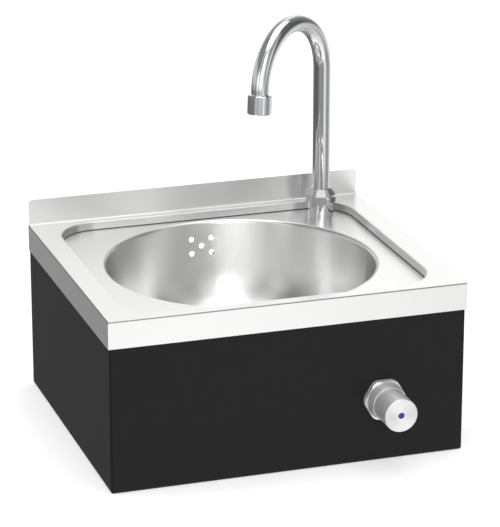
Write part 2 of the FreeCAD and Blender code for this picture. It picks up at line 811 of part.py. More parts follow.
def waste():
    """Strainer, seals, screw and waste body, stacked about the bowl's axis from the seat."""
    seat = {"y": BOWL_Y, "z": f"{FLOOR_TOP} - {SEAT_DROP}"}
    turned("waste_upper_seal", ring_corners("size.waste_hole + 1", "size.waste_flange - 1", "0",
                                            "size.waste_seal"), **seat)
    strainer(seat)
    waste_screw(seat)
    turned("waste_lower_gasket", ring_corners("size.waste_hole + 1", "size.waste_flange",
                                              "-size.bowl_sheet - size.waste_gasket",
                                              "-size.bowl_sheet"), **seat)
    waste_body(seat)


def strainer(seat):
    top = "(size.waste_seal + size.waste_flange_height)"
    bore = "(size.waste_collar - size.waste_collar_wall)"
    foot = "(size.waste_seal - size.waste_collar_length)"
    body = turned("waste_strainer", [
        ("0", "-size.grid_drop"),
        (bore, "-size.grid_drop"),
        (bore, f"{top} - 0.6"),
        (f"{bore} + 1.2", top, "1"),
        ("size.waste_flange - 4", top),
        ("size.waste_flange", "size.waste_seal + 0.8"),
        ("size.waste_flange", "size.waste_seal"),
        ("size.waste_collar", "size.waste_seal"),
        ("size.waste_collar", foot),
        (bore, foot),
        (bore, "-size.grid_drop - size.grid_thickness"),
        ("0", "-size.grid_drop - size.grid_thickness"),
    ], **seat)
    for ring, count in (("size.grid_inner_ring", 6), ("size.grid_outer_ring", 12)):
        hole = new_sketch(body, "XY_Plane", "grid_hole")
        draw_circle(hole, ring, "0", "size.grid_hole")
        cut = pocket(body, hole)
        ring_array(body, cut, count)
    sink = new_sketch(body, "XZ_Plane", "screw_seat")
    draw_outline(sink, [
        ("0", "0"),
        ("size.waste_screw_head", "0"),
        ("size.waste_screw_head", "-size.grid_drop"),
        ("size.waste_screw_radius + 1.5", "-size.grid_drop - size.grid_thickness"),
        ("size.waste_screw_radius + 1.5", "-size.grid_drop - size.grid_thickness - 1"),
        ("0", "-size.grid_drop - size.grid_thickness - 1"),
    ])
    turn_away(body, sink)


def waste_screw(seat):
    """Countersunk screw that pulls the strainer down to the waste body's spider."""
    body = turned("waste_screw", [
        ("0", "-size.grid_drop + 0.8"),
        ("size.waste_screw_head - 1.5", "-size.grid_drop + 0.8"),
        ("size.waste_screw_head", "-size.grid_drop"),
        ("size.waste_screw_radius + 1.5", "-size.grid_drop - size.grid_thickness"),
        ("size.waste_screw_radius", "-size.grid_drop - size.grid_thickness - 1"),
        ("size.waste_screw_radius", "-size.waste_screw_length"),
        ("0", "-size.waste_screw_length"),
    ], **seat)
    slot = new_sketch(body, "XY_Plane", "driver_slot", "0")
    draw_outline(slot, box_corners("-size.waste_screw_head - 1", "size.waste_screw_head + 1", "-0.6", "0.6"))
    pocket(body, slot, "size.grid_drop + 0.7")


def waste_body(seat):
    """Funnel under the bowl, with a screw spider, an overflow spigot and a threaded tail."""
    top = "(-size.bowl_sheet - size.waste_gasket)"
    floor = f"({top} - size.cup_depth)"
    throat = f"({floor} - size.cup_taper)"
    end = f"({throat} - size.tail_length)"
    bore = "(size.tail_radius - size.tail_wall)"
    inside = "(size.cup_radius - size.cup_wall)"
    body = turned("waste_body", [
        ("size.waste_collar + 1", top),
        ("size.waste_flange + 1", top),
        ("size.waste_flange + 1", f"{top} - size.cup_wall"),
        ("size.cup_radius", f"{top} - size.cup_wall - 2"),
        ("size.cup_radius", floor),
        ("size.tail_radius", throat),
        ("size.tail_radius", end),
        (bore, end),
        (bore, f"{throat} + 2"),
        (inside, f"{floor} + 2"),
        (inside, f"{top} - size.cup_wall - 2"),
    ], **seat)
    boss_low = "(-size.waste_screw_length - 2)"
    boss = new_sketch(body, "XY_Plane", "spider_boss", boss_low)
    draw_circle(boss, "0", "0", "size.spider_boss")
    draw_circle(boss, "0", "0", "size.waste_screw_radius")
    rib = new_sketch(body, "XY_Plane", "spider_rib", boss_low)
    draw_outline(rib, box_corners("size.waste_screw_radius + 1", f"{inside} + 1", "-size.spider_rib / 2",
                                  "size.spider_rib / 2"))
    arm = pad(body, rib, "size.spider_boss")
    ring_array(body, arm, 3)
    pad(body, boss, "size.spider_boss")
    spigot = new_sketch(body, "XZ_Plane", "overflow_spigot", f"-{inside} - 1")
    middle = f"(-{SPIGOT_DROP})"
    draw_circle(spigot, "0", middle, "size.spigot_radius")
    pad(body, spigot, f"size.waste_spigot_reach - {inside} - 1", backwards=True)
    port = new_sketch(body, "XZ_Plane", "spigot_bore", f"-{inside} + 6")
    draw_circle(port, "0", middle, "size.spigot_radius - size.spigot_wall")
    pocket(body, port)


def overflow():
    """Gasket and cup behind the overflow holes, and the hose from it to the waste."""
    level_with = {"y": BOWL_Y, "z": f"{FLOOR_TOP} - {OVERFLOW_DROP}"}
    overflow_gasket(level_with)
    overflow_collector(level_with)
    overflow_hose(level_with)
    top = "-size.collector_radius - size.spigot_length"
    hose_clip("overflow_clip_upper", y=f"{BOWL_Y} + {SPIGOT_Y}",
              z=f"{FLOOR_TOP} - {OVERFLOW_DROP} + {top} + size.hose_overlap / 2 - size.clip_width / 2")
    hose_clip("overflow_clip_lower", roll="-90",
              y=f"{BOWL_Y} + size.waste_spigot_reach - size.hose_overlap / 2 - size.clip_width / 2",
              z=f"{FLOOR_TOP} - {SEAT_DROP} - {SPIGOT_DROP}")


def follow_wall(body, offset, inside, name):
    """Trim a body to the bowl's outer wall, moved outwards by an offset."""
    low, high = "(-size.collector_radius - 4)", "(size.collector_radius + 4)"
    edge = "0" if inside else f"{OVERFLOW_WALL} + 40"
    section = new_sketch(body, "XZ_Plane", name)
    draw_outline(section, [
        (edge, low),
        (f"{OVERFLOW_WALL} + {offset} + {low} * {WALL_SLOPE}", low),
        (f"{OVERFLOW_WALL} + {offset} + {high} * {WALL_SLOPE}", high),
        (edge, high),
    ])
    turn_away(body, section, name)


def overflow_gasket(level_with):
    body = new_body("overflow_gasket")
    ring = new_sketch(body, "XZ_Plane", "gasket_ring", f"-{OVERFLOW_WALL} - 8")
    draw_circle(ring, "0", "0", "size.collector_radius")
    draw_circle(ring, "0", "0", "size.collector_radius - size.collector_rim")
    pad(body, ring, "16")
    follow_wall(body, "0", True, "wall_side")
    follow_wall(body, "size.overflow_gasket", False, "cup_side")
    place(body, **level_with)


def overflow_collector(level_with):
    """Shallow cup over the five holes, with a spigot pointing down behind it."""
    body = new_body("overflow_collector")
    face = f"({OVERFLOW_WALL} + size.overflow_gasket + size.collector_plate)"
    plate = new_sketch(body, "XZ_Plane", "cup_outline", f"-{face}")
    draw_circle(plate, "0", "0", "size.collector_radius")
    pad(body, plate, "size.collector_plate + 8")
    spigot = new_sketch(body, "XY_Plane", "spigot", "-size.collector_radius - size.spigot_length")
    draw_circle(spigot, "0", SPIGOT_Y, "size.spigot_radius")
    pad(body, spigot, "size.collector_radius + size.spigot_length - 5")
    follow_wall(body, "size.overflow_gasket", True, "gasket_side")
    cavity = new_sketch(body, "XZ_Plane", "cavity", f"-{OVERFLOW_WALL} + 6")
    draw_circle(cavity, "0", "0", "size.collector_radius - size.collector_rim")
    pocket(body, cavity, "6 + size.overflow_gasket + size.collector_plate - size.collector_wall")
    throat = new_sketch(body, "XZ_Plane", "throat", f"-{OVERFLOW_WALL} + 6")
    draw_circle(throat, "0", "-size.collector_radius / 2 - 1", "size.spigot_radius - 3")
    pocket(body, throat, f"6 + {SPIGOT_Y} - {OVERFLOW_WALL}")
    bore = new_sketch(body, "XY_Plane", "spigot_bore", "-size.collector_radius - size.spigot_length")
    draw_circle(bore, "0", SPIGOT_Y, "size.spigot_radius - size.spigot_wall")
    pocket(body, bore, "size.collector_radius + size.spigot_length - 7", backwards=True)
    place(body, **level_with)


def overflow_hose(level_with):
    """Hose pushed over both spigots, straight down and round one bend to the waste."""
    body = new_body("overflow_hose")
    start = "-size.collector_radius - size.spigot_length + size.hose_overlap"
    waste_level = f"{OVERFLOW_DROP} - {SEAT_DROP} - {SPIGOT_DROP}"
    path = new_sketch(body, "YZ_Plane", "hose_path")
    draw_outline(path, [
        (SPIGOT_Y, start),
        (SPIGOT_Y, waste_level, "size.overflow_hose_bend"),
        ("size.waste_spigot_reach - size.hose_overlap", waste_level),
    ], closed=False)
    section = new_sketch(body, "XY_Plane", "hose_section", start)
    draw_circle(section, "0", SPIGOT_Y, OVERFLOW_HOSE)
    draw_circle(section, "0", SPIGOT_Y, "size.spigot_radius")
    doc.recompute()
    sweep_section(body, section, path)
    place(body, **level_with)


def hose_clip(name, **where):
    """Band with the housing of its tightening screw."""
    body = new_body(name)
    outer = f"({OVERFLOW_HOSE} + size.clip_thickness)"
    band = new_sketch(body, "XY_Plane", "band")
    draw_circle(band, "0", "0", outer)
    draw_circle(band, "0", "0", OVERFLOW_HOSE)
    pad(body, band, "size.clip_width")
    housing = new_sketch(body, "XY_Plane", "screw_housing")
    draw_outline(housing, box_corners(f"{outer} - 0.6", f"{outer} + size.clip_housing", "-size.clip_housing",
                                      "size.clip_housing"))
    pad(body, housing, "size.clip_width")
    screw = new_sketch(body, "XZ_Plane", "screw_head", "-size.clip_housing + 0.5")
    draw_circle(screw, f"{outer} + size.clip_housing / 2", "size.clip_width / 2", "size.clip_housing / 2")
    pad(body, screw, "3", backwards=True)
    place(body, **where)


# ---------------------------------------------------------------- pillar and spout


def tap():
    """Pillar on the tray floor, the union that holds the spout, and the spout itself."""
    foot = {"x": TAP_X, "y": TAP_Y, "z": FLOOR_TOP}
    shoulder = "(size.pillar_height - size.union_clearance)"
    turned("pillar", [
        ("size.water_bore", "-size.shank_length"),
        ("size.shank_radius - 1", "-size.shank_length"),
        ("size.shank_radius", "-size.shank_length + 1"),
        ("size.shank_radius", "size.pillar_seal_height"),
        ("size.pillar_seal_radius", "size.pillar_seal_height"),
        ("size.pillar_seal_radius", "0"),
        ("size.pillar_radius", "0"),
        ("size.pillar_radius", shoulder),
        ("size.pillar_thread", shoulder),
        ("size.pillar_thread", "size.pillar_top"),
        ("size.pillar_bore", "size.pillar_top"),
        ("size.pillar_bore", "size.pillar_top - size.pillar_bore_depth"),
        ("size.water_bore", "size.pillar_top - size.pillar_bore_depth"),
    ], **foot)
    turned("pillar_seal", ring_corners("size.shank_radius", "size.pillar_seal_radius", "0",
                                       "size.pillar_seal_height"), **foot)
    below = "(-size.bowl_sheet - size.pillar_washer_height)"
    turned("pillar_washer", ring_corners("size.shank_radius + 0.2", "size.pillar_washer_radius", below,
                                         "-size.bowl_sheet"), **foot)
    hex_nut("pillar_lock_nut", "size.lock_nut_flats", f"({below} - size.lock_nut_height)",
            "size.lock_nut_height", "size.shank_radius", **foot)
    turned("slip_washer", ring_corners("size.pillar_bore + 0.1", "size.ferrule_collar", "size.pillar_top",
                                       "size.pillar_top + size.slip_washer"), **foot)
    union_nut(foot)
    spout(foot)


def union_outline(flats, corners):
    """Hexagon whose corners are cut by six more flats, given both distances across."""
    half = f"({flats} / 2)"
    reach = f"(({corners} / 2 - {half} * cos(30)) / sin(30))"
    outline = []
    for k in range(6):
        turn = 60 * k
        for side in ("-1", "1"):
            outline.append((f"{half} * cos({turn}) - {side} * {reach} * sin({turn})",
                            f"{half} * sin({turn}) + {side} * {reach} * cos({turn})"))
    return outline


def union_nut(foot):
    """Nut with a faceted cone that holds the spout's collar down on the pillar."""
    body = new_body("union_nut")
    low = "size.pillar_height"
    hexagon = new_sketch(body, "XY_Plane", "flats", low)
    draw_outline(hexagon, union_outline("size.union_flats", "size.union_corners"))
    pad(body, hexagon, "size.union_hex_height")
    base = new_sketch(body, "XY_Plane", "cone_foot", f"{low} + size.union_hex_height")
    draw_outline(base, union_outline("size.union_flats", "size.union_corners"))
    top = new_sketch(body, "XY_Plane", "cone_top", f"{low} + size.union_hex_height + size.union_cone_height")
    ratio = "size.union_corners / size.union_flats"
    draw_outline(top, union_outline("size.union_cone_top", f"size.union_cone_top * {ratio}"))
    cone = body.newObject("PartDesign::AdditiveLoft", "Cone")
    cone.Profile = base
    cone.Sections = [top]
    cone.Ruled = True
    doc.recompute()
    edge = new_sketch(body, "XZ_Plane", "bottom_chamfer")
    draw_outline(edge, [
        ("size.union_flats / 2 + 0.3", f"{low} - 1"),
        ("size.union_flats / 2 + 0.3", low),
        ("size.union_flats / 2 + 1.3", f"{low} + 0.8"),
        ("size.union_flats / 2 + 4", f"{low} + 0.8"),
        ("size.union_flats / 2 + 4", f"{low} - 1"),
    ])
    turn_away(body, edge)
    ceiling = f"({FERRULE_FOOT} + size.ferrule_height + size.union_clearance)"
    hollow = new_sketch(body, "XZ_Plane", "hollow")
    draw_outline(hollow, [
        ("0", f"{low} - 1"),
        ("size.pillar_thread", f"{low} - 1"),
        ("size.pillar_thread", ceiling),
        ("size.tube_radius + size.union_clearance", ceiling),
        ("size.tube_radius + size.union_clearance", f"{low} + 40"),
        ("0", f"{low} + 40"),
    ])
    turn_away(body, hollow)
    place(body, yaw="size.union_turn", **foot)


def spout(foot):
    """Gooseneck tube with its ferrule and O-ring below and its aerator at the outlet."""
    outwards = dict(foot, yaw="size.spout_angle")
    body = new_body("spout_tube")
    path = new_sketch(body, "XZ_Plane", "spout_path")
    spout_path(path)
    section = new_sketch(body, "XY_Plane", "tube_section", TUBE_FOOT)
    draw_circle(section, "0", "0", "size.tube_radius")
    draw_circle(section, "0", "0", "size.tube_radius - size.tube_wall")
    doc.recompute()
    sweep_section(body, section, path)
    place(body, **outwards)

    groove = "size.o_ring * 1.25"
    groove_floor = "(size.pillar_bore - size.o_ring_gap - size.o_ring)"
    spigot_foot = f"({FERRULE_FOOT} - size.ferrule_length)"
    groove_low = f"({spigot_foot} + 3)"
    turned("spout_ferrule", [
        ("size.ferrule_bore", spigot_foot),
        ("size.ferrule_spigot", spigot_foot),
        ("size.ferrule_spigot", groove_low),
        (groove_floor, groove_low),
        (groove_floor, f"{groove_low} + {groove}"),
        ("size.ferrule_spigot", f"{groove_low} + {groove}"),
        ("size.ferrule_spigot", FERRULE_FOOT),
        ("size.ferrule_collar", FERRULE_FOOT),
        ("size.ferrule_collar", f"{FERRULE_FOOT} + size.ferrule_height"),
        ("size.tube_radius", f"{FERRULE_FOOT} + size.ferrule_height"),
        ("size.tube_radius", TUBE_FOOT),
        ("size.ferrule_bore", TUBE_FOOT),
    ], **outwards)
    o_ring("spout_o_ring", groove_floor, "size.o_ring", f"{groove_low} + {groove} / 2", **outwards)
    aerator(foot)


def spout_path(sketch):
    """Centre line of the spout: straight up, round the arch and a short way down."""
    start = Vector(0, value(TUBE_FOOT), 0)
    spring = Vector(0, value("size.arch_start"), 0)
    radius = value("size.arch_radius")
    low = math.radians(180 - value("size.arch_angle"))
    run = "(size.outlet_straight + size.aerator_grip)"
    end_x = f"size.arch_radius * (1 - cos(size.arch_angle)) + {run} * sin(size.arch_angle)"
    end_z = f"size.arch_start + size.arch_radius * sin(size.arch_angle) + {run} * cos(size.arch_angle)"
    centre = Vector(radius, spring.y, 0)
    riser = sketch.addGeometry(Part.LineSegment(start, spring), False)
    circle = Part.Circle(centre, Vector(0, 0, 1), radius)
    arch = sketch.addGeometry(Part.ArcOfCircle(circle, low, math.pi), False)
    leave = centre + Vector(math.cos(low), math.sin(low), 0) * radius
    end = Vector(value(end_x), value(end_z), 0)
    drop = sketch.addGeometry(Part.LineSegment(leave, end), False)
    tie_point(sketch, riser, 1, "0", TUBE_FOOT)
    tie_point(sketch, riser, 2, "0", "size.arch_start")
    tie_point(sketch, arch, 3, "size.arch_radius", "size.arch_start")
    sketch.addConstraint(Sketcher.Constraint("Coincident", riser, 2, arch, 2))
    sketch.addConstraint(Sketcher.Constraint("Tangent", arch, 1, drop, 1))
    tie_point(sketch, drop, 2, end_x, end_z)


def o_ring(name, inner, thickness, height, **where):
    body = new_body(name)
    section = new_sketch(body, "XZ_Plane", f"{name}_section")
    draw_circle(section, f"{inner} + {thickness} / 2", height, f"{thickness} / 2")
    turn_up(body, section)
    place(body, **where)


def aerator(foot):
    """Sleeve on the spout's end with a washer and an insert that breaks the stream up."""
    reach = "size.arch_radius * (1 - cos(size.arch_angle))"
    outlet = {
        "x": f"{TAP_X} + {reach} * cos(size.spout_angle)",
        "y": f"{TAP_Y} + {reach} * sin(size.spout_angle)",
        "z": f"{FLOOR_TOP} + size.arch_start + size.arch_radius * sin(size.arch_angle)",
        "yaw": "size.spout_angle",
        "pitch": "size.arch_angle",
    }
    near_end = "size.outlet_straight"
    far_end = f"({near_end} + size.aerator_length)"
    stop = f"({near_end} + size.aerator_grip)"
    chamber = f"({stop} + 1)"
    turned("aerator_housing", [
        ("size.tube_radius", near_end),
        ("size.aerator_radius - size.aerator_edge", near_end),
        ("size.aerator_radius", f"{near_end} + size.aerator_edge"),
        ("size.aerator_radius", f"{far_end} - size.aerator_edge"),
        ("size.aerator_radius - size.aerator_edge", far_end),
        ("size.aerator_chamber", far_end),
        ("size.aerator_chamber", chamber),
        ("size.tube_radius - size.tube_wall", chamber),
        ("size.tube_radius - size.tube_wall", stop),
        ("size.tube_radius", stop),
    ], **outlet)
    washer_end = f"({chamber} + size.aerator_seal)"
    turned("aerator_washer", ring_corners("size.tube_radius - size.tube_wall", "size.aerator_chamber",
                                          chamber, washer_end), **outlet)
    insert = turned("aerator_insert", [
        ("0", f"{far_end} - size.aerator_lip - 2"),
        ("size.aerator_chamber - 2", f"{far_end} - size.aerator_lip - 2"),
        ("size.aerator_chamber - 2", washer_end),
        ("size.aerator_chamber", washer_end),
        ("size.aerator_chamber", f"{far_end} - size.aerator_lip"),
        ("0", f"{far_end} - size.aerator_lip"),
    ], **outlet)
    for ring, count in (("0", 1), ("3", 6), ("6", 12)):
        jet = new_sketch(insert, "XY_Plane", "jet", f"{far_end} + 1")
        draw_circle(jet, ring, "0", "size.jet_hole")
        cut = pocket(insert, jet)
        if count > 1:
            ring_array(insert, cut, count)


# ---------------------------------------------------------------- push-button valve


def valve():
    """Self-closing valve through the skirt: body, collar, button, stem, spring and inlet."""
    face = {"x": VALVE_X, "y": VALVE_Y, "z": VALVE_Z, "roll": "90"}
    valve_body(face)
    collar_nut(face)
    turned("valve_washer", ring_corners("size.sleeve_radius + 0.1", "size.shoulder_radius",
                                        "-size.skirt_sheet - size.valve_washer", "-size.skirt_sheet"), **face)
    seal = "(size.stem_radius + size.o_ring_gap)"
    o_ring("stem_seal", seal, "size.o_ring", "(size.gland_front - size.gland_back) / 2", **face)
    push_button(face)
    valve_stem(face)
    turned("timing_cup", [
        ("size.stem_radius", CUP_BACK),
        ("size.sleeve_bore - size.cup_gap - 0.7", CUP_BACK),
        ("size.sleeve_bore - size.cup_gap", f"{CUP_BACK} + size.cup_length - 0.5"),
        ("size.sleeve_bore - size.cup_gap", f"{CUP_BACK} + size.cup_length"),
        ("size.sleeve_bore - size.cup_gap - 0.8", f"{CUP_BACK} + size.cup_length"),
        ("size.sleeve_bore - size.cup_gap - 2", f"{CUP_BACK} + 1.5"),
        ("size.stem_radius", f"{CUP_BACK} + 1.5"),
    ], **face)
    turned("valve_disc", ring_corners("size.stem_radius", "size.disc_radius",
                                      f"{DISC_FRONT} - size.disc_length", DISC_FRONT), **face)
    return_spring(face)
    inlet(face)


def valve_body(face):
    """Turned body: sleeve through the panel, gland, outlet chamber, seat and inlet chamber."""
    groove = "(size.o_ring * 0.65)"
    middle = "((size.gland_front - size.gland_back) / 2)"
    guide = "(size.stem_radius + size.sliding_gap)"
    shoulder = "(-size.skirt_sheet - size.valve_washer)"
    body = turned("valve_body", [
        (guide, "size.gland_front"),
        ("size.sleeve_bore", "size.gland_front"),
        ("size.sleeve_bore", "size.sleeve_front"),
        ("size.sleeve_radius", "size.sleeve_front"),
        ("size.sleeve_radius", shoulder),
        ("size.shoulder_radius", shoulder),
        ("size.shoulder_radius", f"{shoulder} - size.shoulder_length"),
        ("size.chamber_radius", f"{shoulder} - size.shoulder_length"),
        ("size.chamber_radius", VALVE_BACK),
        ("size.chamber_bore", VALVE_BACK),
        ("size.chamber_bore", SEAT_BACK),
        ("size.port_bore", SEAT_BACK),
        ("size.port_bore", SEAT_FRONT),
        ("size.chamber_bore", SEAT_FRONT),
        ("size.chamber_bore", GLAND_BACK),
        (guide, GLAND_BACK),
    ], **face)
    ring = new_sketch(body, "XZ_Plane", "seal_groove")
    draw_outline(ring, box_corners("size.stem_radius - 1", "size.stem_radius + size.o_ring_gap + size.o_ring",
                                   f"{middle} - {groove}", f"{middle} + {groove}"))
    turn_away(body, ring)
    boss = new_sketch(body, "YZ_Plane", "outlet_boss", "size.chamber_bore + 1")
    draw_circle(boss, "0", "-size.outlet_axis", "size.thread_half_inch")
    pad(body, boss, "size.outlet_reach - size.chamber_bore - 1")
    outlet = new_sketch(body, "YZ_Plane", "outlet_bore", "size.stem_radius + 1")
    draw_circle(outlet, "0", "-size.outlet_axis", "size.nipple_bore - 1")
    pocket(body, outlet, backwards=True)


def collar_nut(face):
    """Nut that clamps the valve to the panel, with the cone that the button slides into."""
    body = new_body("collar_nut")
    section = new_sketch(body, "XZ_Plane", "collar_section")
    inner = "(size.button_radius + size.button_gap)"
    draw_outline(section, [
        ("size.sleeve_radius", "0"),
        ("size.collar_shoulder", "0"),
        ("size.collar_shoulder", "size.collar_hex"),
        ("size.collar_front", "size.collar_length"),
        (inner, "size.collar_length"),
        (inner, "size.collar_web"),
        ("size.sleeve_radius", "size.collar_web"),
    ])
    turn_up(body, section)
    flats = new_sketch(body, "XY_Plane", "collar_flats")
    draw_outline(flats, hexagon_corners("size.collar_flats"))
    draw_circle(flats, "0", "0", "size.button_radius + 1")
    pad(body, flats, "size.collar_hex")
    crown_corners(body, "size.collar_flats", "0", "size.collar_hex", "size.collar_corner")
    place(body, pitch="30", **face)


def push_button(face):
    """Deep cap that slides over the valve's sleeve, with its fixing screw and blue index."""
    slide = "(size.sleeve_radius + size.sliding_gap)"
    boss_end = f"({BUTTON_WALL} - size.button_boss_length)"
    turned("push_button", [
        (slide, BUTTON_BACK),
        ("size.button_radius", BUTTON_BACK),
        ("size.button_radius", "size.button_front", "size.button_edge"),
        ("size.index_radius", "size.button_front"),
        ("size.index_radius", INDEX_FLOOR),
        ("size.screw_radius", INDEX_FLOOR),
        ("size.screw_radius", BUTTON_WALL),
        ("size.stem_radius", BUTTON_WALL),
        ("size.stem_radius", boss_end),
        ("size.button_boss", boss_end),
        ("size.button_boss", BUTTON_WALL),
        (slide, BUTTON_WALL),
    ], **face)
    turned("button_index", [
        ("0", "size.button_front - size.index_height"),
        ("size.index_radius", "size.button_front - size.index_height"),
        ("size.index_radius", "size.button_front"),
        ("0", "size.button_front"),
    ], **face)
    screw = turned("cap_screw", [
        ("0", f"{INDEX_FLOOR} - size.screw_length"),
        ("size.screw_radius", f"{INDEX_FLOOR} - size.screw_length"),
        ("size.screw_radius", INDEX_FLOOR),
        ("size.screw_head", INDEX_FLOOR),
        ("size.screw_head", f"{INDEX_FLOOR} + size.screw_head_height"),
        ("0", f"{INDEX_FLOOR} + size.screw_head_height"),
    ], **face)
    socket = new_sketch(screw, "XY_Plane", "socket", f"{INDEX_FLOOR} + size.screw_head_height")
    draw_outline(socket, hexagon_corners("size.screw_radius * 1.5"))
    pocket(screw, socket, "size.screw_head_height * 0.8")


def valve_stem(face):
    """Stem with the spring's collar, the collars that hold cup and disc, and a tapped end."""
    end = f"({DISC_FRONT} - size.disc_length - size.stem_collar_length - 2)"
    held = f"({DISC_FRONT} - size.disc_length)"
    turned("valve_stem", [
        ("0", end),
        ("size.stem_radius", end),
        ("size.stem_radius", f"{held} - size.stem_collar_length"),
        ("size.stem_collar", f"{held} - size.stem_collar_length"),
        ("size.stem_collar", held),
        ("size.stem_radius", held),
        ("size.stem_radius", DISC_FRONT),
        ("size.stem_collar", DISC_FRONT),
        ("size.stem_collar", f"{DISC_FRONT} + size.stem_collar_length"),
        ("size.stem_radius", f"{DISC_FRONT} + size.stem_collar_length"),
        ("size.stem_radius", SPRING_TOP),
        ("size.spring_collar", SPRING_TOP),
        ("size.spring_collar", CUP_BACK),
        ("size.stem_radius", CUP_BACK),
        ("size.stem_radius", f"{CUP_BACK} + 1.5"),
        ("size.stem_collar", f"{CUP_BACK} + 1.5"),
        ("size.stem_collar", f"{CUP_BACK} + 1.5 + size.stem_collar_length"),
        ("size.stem_radius", f"{CUP_BACK} + 1.5 + size.stem_collar_length"),
        ("size.stem_radius", BUTTON_WALL),
        ("size.screw_radius", BUTTON_WALL),
        ("size.screw_radius", f"{INDEX_FLOOR} - size.screw_length - 1"),
        ("0", f"{INDEX_FLOOR} - size.screw_length - 1"),
    ], **face)


def arc_from(start, heading, end):
    """Arc that leaves a point along a heading and reaches another point."""
    chord = end - start
    half_turn = heading.getAngle(chord) / 2
    aside = heading - chord * (heading.dot(chord) / chord.dot(chord))
    middle = (start + end) / 2
    if aside.Length > 1e-9:
        middle = middle + aside.normalize() * (chord.Length / 2 * math.tan(half_turn))
    return Part.Arc(start, middle, end).toShape()


def biarc(start, heading, end, arriving):
    """Two tangent arcs between two points with given headings."""
    chord = end - start
    both = heading + arriving
    spread = 2 * (1 - heading.dot(arriving))
    along = chord.dot(both)
    reach = (math.sqrt(along * along + spread * chord.dot(chord)) - along) / spread
    middle = (start + end + (heading - arriving) * reach) / 2
    first = arc_from(start, heading, middle)
    second = arc_from(end, arriving * -1, middle)
    return [first, second]


def return_spring(face):
    """Open coil between the gland and the stem's collar, one unbroken round wire."""
    wire = value("size.spring_wire")
    radius = value("size.spring_radius")
    turns = value("size.spring_turns")
    low = value("size.gland_front") + wire / 2
    rise = value(f"{SPRING_TOP} - size.gland_front") - wire
    quarters = round(4 * turns)
    slope = rise / (2 * math.pi * turns * radius)

    def coil_point(turn):
        return Vector(radius * math.cos(turn), radius * math.sin(turn), low + radius * slope * turn)

    def coil_heading(turn):
        return Vector(-math.sin(turn), math.cos(turn), slope).normalize()

    edges = []
    for quarter in range(quarters):
        here = quarter * turns * 2 * math.pi / quarters
        there = (quarter + 1) * turns * 2 * math.pi / quarters
        edges += biarc(coil_point(here), coil_heading(here), coil_point(there), coil_heading(there))
    path = Part.Wire(Part.__sortEdges__(edges))
    section = Part.Wire(Part.makeCircle(wire / 2, coil_point(0), coil_heading(0)))
    coil = path.makePipeShell([section], True, False)
    spring = doc.addObject("Part::Feature", "return_spring")
    spring.Label = "return_spring"
    spring.Shape = coil
    place(spring, **face)
    subparts.append(spring)
    print("spring: gap between coils", round(rise / turns * math.cos(math.atan(slope)) - wire, 2),
          "volume ratio", round(coil.Volume / (math.pi * wire ** 2 / 4 * path.Length), 4))


def inlet(face):
    """Elbow nipple that takes the supply from below, with its fibre seal and a small strainer cup."""
    hex_front = f"({VALVE_BACK} - size.fibre_seal)"
    hex_back = f"({hex_front} - size.nipple_hex)"
    front = f"({VALVE_BACK} + size.nipple_plug)"
    body = turned("inlet_nipple", [
        ("size.nipple_bore", front),
        ("size.chamber_bore", front),
        ("size.chamber_bore", hex_front),
        ("size.elbow_radius", hex_front),
        ("size.elbow_radius", hex_back),
        ("size.nipple_bore", hex_back),
    ], **face)
    flats = new_sketch(body, "XY_Plane", "nipple_flats", hex_back)
    draw_outline(flats, hexagon_corners("size.nipple_flats"))
    draw_circle(flats, "0", "0", "(size.nipple_bore + size.elbow_radius) / 2")
    pad(body, flats, "size.nipple_hex")
    crown_corners(body, "size.nipple_flats", hex_back, "size.nipple_hex", "size.nipple_flats * 0.55")
    leg_axis = f"({hex_back} - size.elbow_run)"
    path = new_sketch(body, "YZ_Plane", "elbow_path")
    draw_outline(path, [
        ("0", hex_back),
        ("0", leg_axis, "size.elbow_bend"),
        ("-size.elbow_leg", leg_axis),
    ], closed=False)
    section = new_sketch(body, "XY_Plane", "elbow_section", hex_back)
    draw_circle(section, "0", "0", "size.elbow_radius")
    draw_circle(section, "0", "0", "size.nipple_bore")
    doc.recompute()
    sweep_section(body, section, path, "Elbow")
    thread = new_sketch(body, "XZ_Plane", "inlet_thread", "size.elbow_leg")
    draw_circle(thread, "0", leg_axis, "size.thread_half_inch")
    draw_circle(thread, "0", leg_axis, "size.nipple_bore")
    pad(body, thread, "size.nipple_thread")
    end = value("-size.elbow_leg - size.nipple_thread")
    reach = value("size.thread_half_inch")
    chamfer_edges(body, lambda box: near(box.YMin, end) and near(box.YMax, end) and near(box.XMax, reach),
                  "size.thread_chamfer")
    turned("inlet_seal", ring_corners("size.chamber_bore + 0.1", "size.chamber_radius", hex_front,
                                      VALVE_BACK), **face)
    mesh = f"({VALVE_BACK} - 1)"
    inlet_filter = turned("inlet_filter", [
        ("0", mesh),
        ("size.nipple_bore - 1", mesh),
        ("size.nipple_bore - 1", f"{VALVE_BACK} - size.filter_depth"),
        ("size.nipple_bore", f"{VALVE_BACK} - size.filter_depth"),
        ("size.nipple_bore", VALVE_BACK),
        ("0", VALVE_BACK),
    ], **face)
    for ring, count in (("0", 1), ("2.2", 6), ("4.5", 12)):
        hole = new_sketch(inlet_filter, "XY_Plane", "mesh_hole", f"{VALVE_BACK} + 1")
        draw_circle(hole, ring, "0", "0.7")
        cut = pocket(inlet_filter, hole)
        if count > 1:
            ring_array(inlet_filter, cut, count)


# ---------------------------------------------------------------- feed hose


